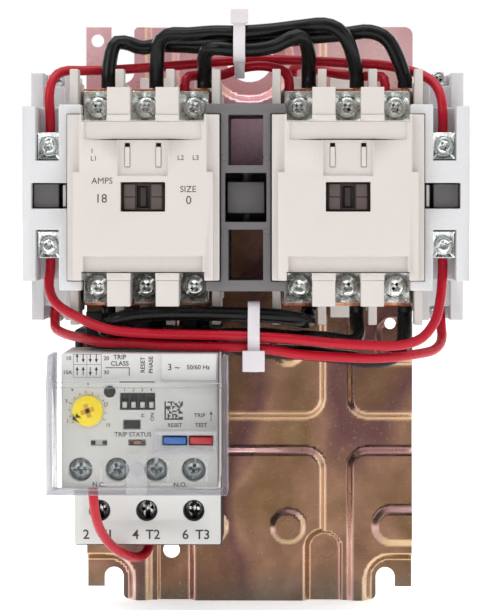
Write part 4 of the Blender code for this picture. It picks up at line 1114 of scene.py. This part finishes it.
AUX_D, DEEP_D = 70.0, 52.0  # the front and rear screws of the auxiliary blocks
TOP_Z, LOW_Z = 57.35, 19.25  # the wire ends at the front ones
LINE_3 = poles(-CONTACTOR_X)[2] - WIRE_SIDE
LINE_4, _, LINE_6 = [pole - WIRE_SIDE for pole in poles(CONTACTOR_X)]
LINE_D, LINE_Z = 63.2, CONTACTOR_Z + 31.75  # the thin wires' ends at line terminals 3, 4 and 6
CONTROL_WIRES = {
    "control_wire_1": [
        (-AUX_X, AUX_D, TOP_Z), (-AUX_X, AUX_D, 62.0), (-60.0, 69.4, 69.0),
        (-58.8, 66.4, 74.2), (-55.6, 62.8, 76.4), (-50.8, 60.2, 76.6), (-44.0, 58.4, 76.8),
        (-34.2, 57.4, 77.4), (-20.0, 57.6, 78.4), (0.0, 57.8, 80.0), (16.0, 57.8, 79.8),
        (30.8, 58.0, 79.0), (41.0, 58.4, 78.4), (49.0, 59.4, 76.8), (54.0, 61.6, 75.0),
        (57.6, 65.0, 72.0), (59.3, 68.2, 67.6), (59.6, 69.8, 62.4), (AUX_X, AUX_D, TOP_Z),
    ],
    "control_wire_2": [
        (LINE_3, LINE_D, LINE_Z), (LINE_3, LINE_D, 72.2),
        (-18.2, 61.2, 74.6), (-14.0, 58.8, 75.2), (-8.0, 59.6, 75.2), (-2.0, 61.4, 77.2),
        (3.6, 62.0, 78.0), (8.4, 62.2, 77.4), (11.8, 62.6, 76.0), (LINE_4, LINE_D, 73.2),
        (LINE_4, LINE_D, LINE_Z),
    ],
    "control_wire_3": [
        (14.0, 38.0, 75.8), (14.1, 38.4, 78.0), (16.4, 43.0, 79.2), (21.4, 50.0, 77.4),
        (28.0, 54.0, 75.8), (34.0, 55.6, 75.2), (38.8, 58.0, 74.9), (41.4, 61.0, 74.6),
        (LINE_6, LINE_D, 73.0), (LINE_6, LINE_D, LINE_Z),
    ],
    "control_wire_4": [
        (-AUX_X, AUX_D, LOW_Z), (-AUX_X, AUX_D, 16.0), (-60.0, 70.8, 10.2),
        (-57.2, 74.6, 5.2), (-49.4, 80.4, 1.0), (-40.8, 83.6, -2.0), (-28.2, 84.2, -3.2),
        (-12.0, 84.2, -3.6), (0.6, 84.2, -3.9), (13.0, 84.0, -4.7), (26.1, 83.4, -6.0),
        (38.0, 81.4, -6.8), (46.0, 79.2, -6.9), (52.8, 76.0, -5.0), (57.2, 73.0, 0.2),
        (58.9, 71.0, 7.0), (AUX_X, AUX_D, 15.0), (AUX_X, AUX_D, LOW_Z),
    ],
    "control_wire_5": [
        (-AUX_X, DEEP_D, 3.7), (-AUX_X, DEEP_D + 0.4, 0.6), (-59.2, 55.0, -2.6),
        (-55.8, 62.0, -4.1), (-50.0, 70.4, -5.1), (-43.0, 77.6, -6.1), (-33.0, 81.0, -6.2),
        (-24.0, 82.2, -6.8), (-12.0, 82.8, -7.1), (0.6, 83.0, -7.4), (8.0, 82.6, -8.2),
        (17.2, 81.8, -9.6), (34.9, 79.4, -10.7), (44.0, 76.0, -10.6), (51.6, 69.0, -10.0),
        (57.4, 61.4, -9.0), (60.0, 55.6, -6.2), (60.0, 52.8, -2.0), (AUX_X, DEEP_D, 3.7),
    ],
    "control_wire_6": [
        (-46.1, 80.0, -48.5), (-46.1, 79.4, -52.6), (-45.9, 73.4, -58.6),
        (-44.7, 65.2, -64.6), (-41.9, 56.8, -69.8), (-38.0, 46.8, -73.8), (-34.4, 36.0, -75.6),
        (RELAY_X - 0.6, 28.4, -74.0), (RELAY_X, 27.0, -69.2),
    ],
}


def bare_ends(shape, points, radius):
    """The strands that leave the insulation and go under the clamp."""
    strands = [(0.0, 0.0)] + [(math.cos(a), math.sin(a)) for a in (math.radians(60 * i) for i in range(6))]
    round_it = [(math.cos(a), math.sin(a)) for a in (math.radians(45 * k) for k in range(8))]
    for end, inside in ((points[0], points[1]), (points[-1], points[-2])):
        way = (end - inside).normalized()
        side = way.orthogonal().normalized()
        other = way.cross(side)
        for u, v in strands:
            middle = end + (side * u + other * v) * radius * 0.36
            rings = []
            for along in (-0.8, 1.1):
                spokes = [(side * c + other * s) * radius * 0.17 for c, s in round_it]
                rings.append([point(*(middle + way * along + spoke)) for spoke in spokes])
            loft(shape, rings)


def wire(name, route, diameter, slot):
    """An insulated wire whose own line is its middle, with its copper ends."""
    curve = bpy.data.curves.new(name + "_insulation", "CURVE")
    curve.dimensions = "3D"
    curve.bevel_depth = diameter / 2 * MM
    curve.bevel_resolution = 6
    curve.use_fill_caps = True
    points = smooth_route(route, 2.2)
    spline = curve.splines.new("POLY")
    spline.points.add(len(points) - 1)
    for target, place in zip(spline.points, points):
        target.co = (*point(*place), 1.0)
    spline.use_smooth = True
    curve.materials.append(LOOKS[slot])
    made = placed(name + "_insulation", curve)
    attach(made, PANEL)
    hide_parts(name)
    shape = bmesh.new()
    bare_ends(shape, points, diameter / 2)
    strands = piece(name + "_strands", shape, slot, 0.0, look=COPPER_LOOK)


for wire_name, jumper in JUMPERS.items():
    wire(wire_name, jumper_route(*jumper), POWER_WIRE, "black_insulation")
for wire_name, wire_route in CONTROL_WIRES.items():
    wire(wire_name, wire_route, CONTROL_WIRE, "red_insulation")


# ---- cable ties


for tie in ("upper_cable_tie", "lower_cable_tie"):
    skin(tie, 0.25, 3, 40.0)
